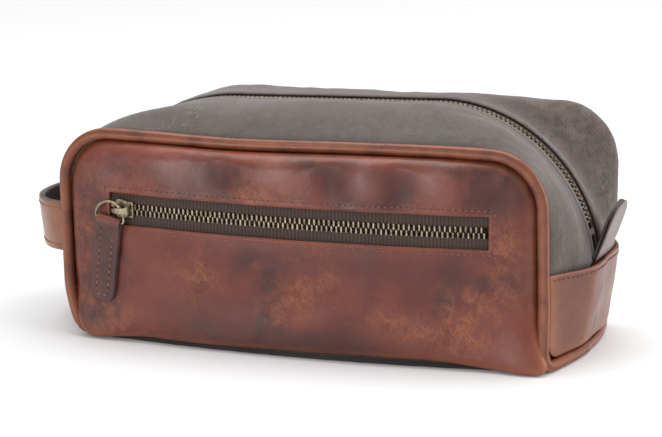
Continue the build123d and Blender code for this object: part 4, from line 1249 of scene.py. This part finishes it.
# ---------------------------------------------------------------- carrying loop
def carrying_loop():
    """Leather strap and its backing, sewn into the left end's seams and sagging a little."""
    tilt = (Matrix.Translation((-SEAM_HALF, 0, LOOP_Z)) @ Matrix.Rotation(math.radians(-LOOP_DROOP), 4, "Y")
            @ Matrix.Translation((SEAM_HALF, 0, -LOOP_Z)))
    limit = math.degrees(math.acos((-SEAM_HALF - LOOP_X) / LOOP_R))
    angles = [math.radians(a) for a in spaced(limit + 0.5, 360 - limit - 0.5, 3.0)]
    outs = [Vector((math.cos(a), math.sin(a), 0)) for a in angles]
    half = LOOP_WIDTH / 2

    def relief(i, a):
        return 0.2 * bump(half - abs(a), LOOP_ROW, 0.7) + 0.08 * math.sin(i * 0.4)

    layers = (("loop_leather_outer", "handle_outer", LOOP_R - LOOP_STRAP / 2, LOOP_STRAP, HANDLE_LEATHER,
               "pullup_leather"),
              ("loop_leather_backing", "handle_lining", LOOP_R - 2.57, LOOP_BACKING, EDGE_PAINT,
               "dark_leather"))
    for name, node, radius, thickness, material, slot in layers:
        path = [Vector((LOOP_X, 0, LOOP_Z)) + out * radius for out in outs]
        rings = strap_rings(path, Vector((0, 0, 1)), outs, [half] * len(path), thickness, relief, 24, 0.5)
        strap(name, "bag", tilt, rings, material, node, slot, wear=0.25)
    row = half - LOOP_ROW
    for name, height in (("loop_stitching_upper", row), ("loop_stitching_lower", -row)):
        middle = Vector((LOOP_X, 0, LOOP_Z + height))
        places = [(tilt @ (middle + out * (LOOP_R - 0.2)), tilt.to_3x3() @ out) for out in outs]
        thread_row(name, "bag", places, 3.2, SEAM_THREAD)


carrying_loop()


# ---------------------------------------------------------------- CAD pieces that keep their shape
def finish_node(node, material):
    """A better material on a CAD piece whose shape is right."""
    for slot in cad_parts[node].material_slots:
        slot.material = material


for node in ("main_zip_tape_front", "main_zip_tape_rear", "pocket_zip_tape_upper", "pocket_zip_tape_lower"):
    finish_node(node, TAPE_CLOTH)
for node in ("main_zip_stops", "pocket_zip_stops"):
    finish_node(node, TOOTH_BRASS)
for node in ("pocket_pouch_front", "pocket_pouch_rear", "lining_front", "lining_base"):
    finish_node(node, LINING_CLOTH)
finish_node("base_board", BOARD)
finish_node("grab_tab_root", TAB_LEATHER)


# ---------------------------------------------------------------- floor, light and camera
def studio():
    """A pale floor, a sky that is brighter overhead, and three soft lamps."""
    paper = Shader("studio_floor")
    colour = paper.mix(paper.noise(900.0, 3.0), (0.72, 0.72, 0.725), (0.76, 0.76, 0.765))
    paper.finish(colour, 0.9, Specular_IOR_Level=0.1, Emission_Strength=0.06, Emission_Color=(1, 1, 1, 1))
    floor = bpy.data.meshes.new("floor")
    floor.from_pydata([(x, y, 0) for x, y in ((-6, -6), (6, -6), (6, 6), (-6, 6))], [], [(0, 1, 2, 3)])
    floor.materials.append(paper.material)
    obj = bpy.data.objects.new("floor", floor)
    obj.location.z = -0.0001
    bpy.context.scene.collection.objects.link(obj)

    world = bpy.data.worlds.new("studio")
    bpy.context.scene.world = world
    world.use_nodes = True
    tree = world.node_tree
    place = tree.nodes.new("ShaderNodeTexCoord")
    split = tree.nodes.new("ShaderNodeSeparateXYZ")
    height = tree.nodes.new("ShaderNodeMapRange")
    for key, value in (("From Min", 0.05), ("From Max", 0.75), ("To Min", 0.60), ("To Max", 0.95)):
        height.inputs[key].default_value = value
    tree.links.new(place.outputs["Generated"], split.inputs["Vector"])
    tree.links.new(split.outputs["Z"], height.inputs["Value"])
    tree.links.new(height.outputs["Result"], tree.nodes["Background"].inputs["Strength"])
    tree.nodes["Background"].inputs["Color"].default_value = (1.0, 1.0, 1.0, 1.0)

    for name, place, width, depth, power in (("key", (-0.56, -1.36, 0.20), 0.46, 0.32, 3.3),
                                             ("top", (0.0, 0.1, 1.5), 1.5, 1.0, 14.0),
                                             ("right_wall", (1.3, 0.25, 0.55), 1.0, 0.9, 8.5)):
        light = bpy.data.lights.new(name, "AREA")
        light.shape = "RECTANGLE"
        light.size = width
        light.size_y = depth
        light.energy = power
        lamp = bpy.data.objects.new(name, light)
        lamp.location = place
        lamp.rotation_euler = (Vector((0, 0, 0.05)) - Vector(place)).to_track_quat("-Z", "Y").to_euler()
        bpy.context.scene.collection.objects.link(lamp)


def camera():
    """A long lens in front of the bag's right corner and a little above it."""
    azimuth, elevation, roll = math.radians(22.5), math.radians(13.4), math.radians(-1.5)
    target, distance = Vector((-1.3, 0, 56.8)) * MM, 1.5
    back = Vector((math.sin(azimuth) * math.cos(elevation), -math.cos(azimuth) * math.cos(elevation),
                   math.sin(elevation)))
    right = Vector((math.cos(azimuth), math.sin(azimuth), 0))
    up = back.cross(right)
    x_axis = right * math.cos(roll) + up * math.sin(roll)
    y_axis = up * math.cos(roll) - right * math.sin(roll)
    data = bpy.data.cameras.new("camera")
    data.lens = 163.3
    data.sensor_width = 36.0
    data.clip_end = 50.0
    obj = bpy.data.objects.new("camera", data)
    obj.matrix_world = (Matrix.Translation(target + back * distance)
                        @ Matrix((x_axis, y_axis, back)).transposed().to_4x4())
    bpy.context.scene.collection.objects.link(obj)
    bpy.context.scene.camera = obj


studio()
camera()
bpy.context.scene.view_settings.view_transform = "Standard"

bpy.context.view_layer.update()
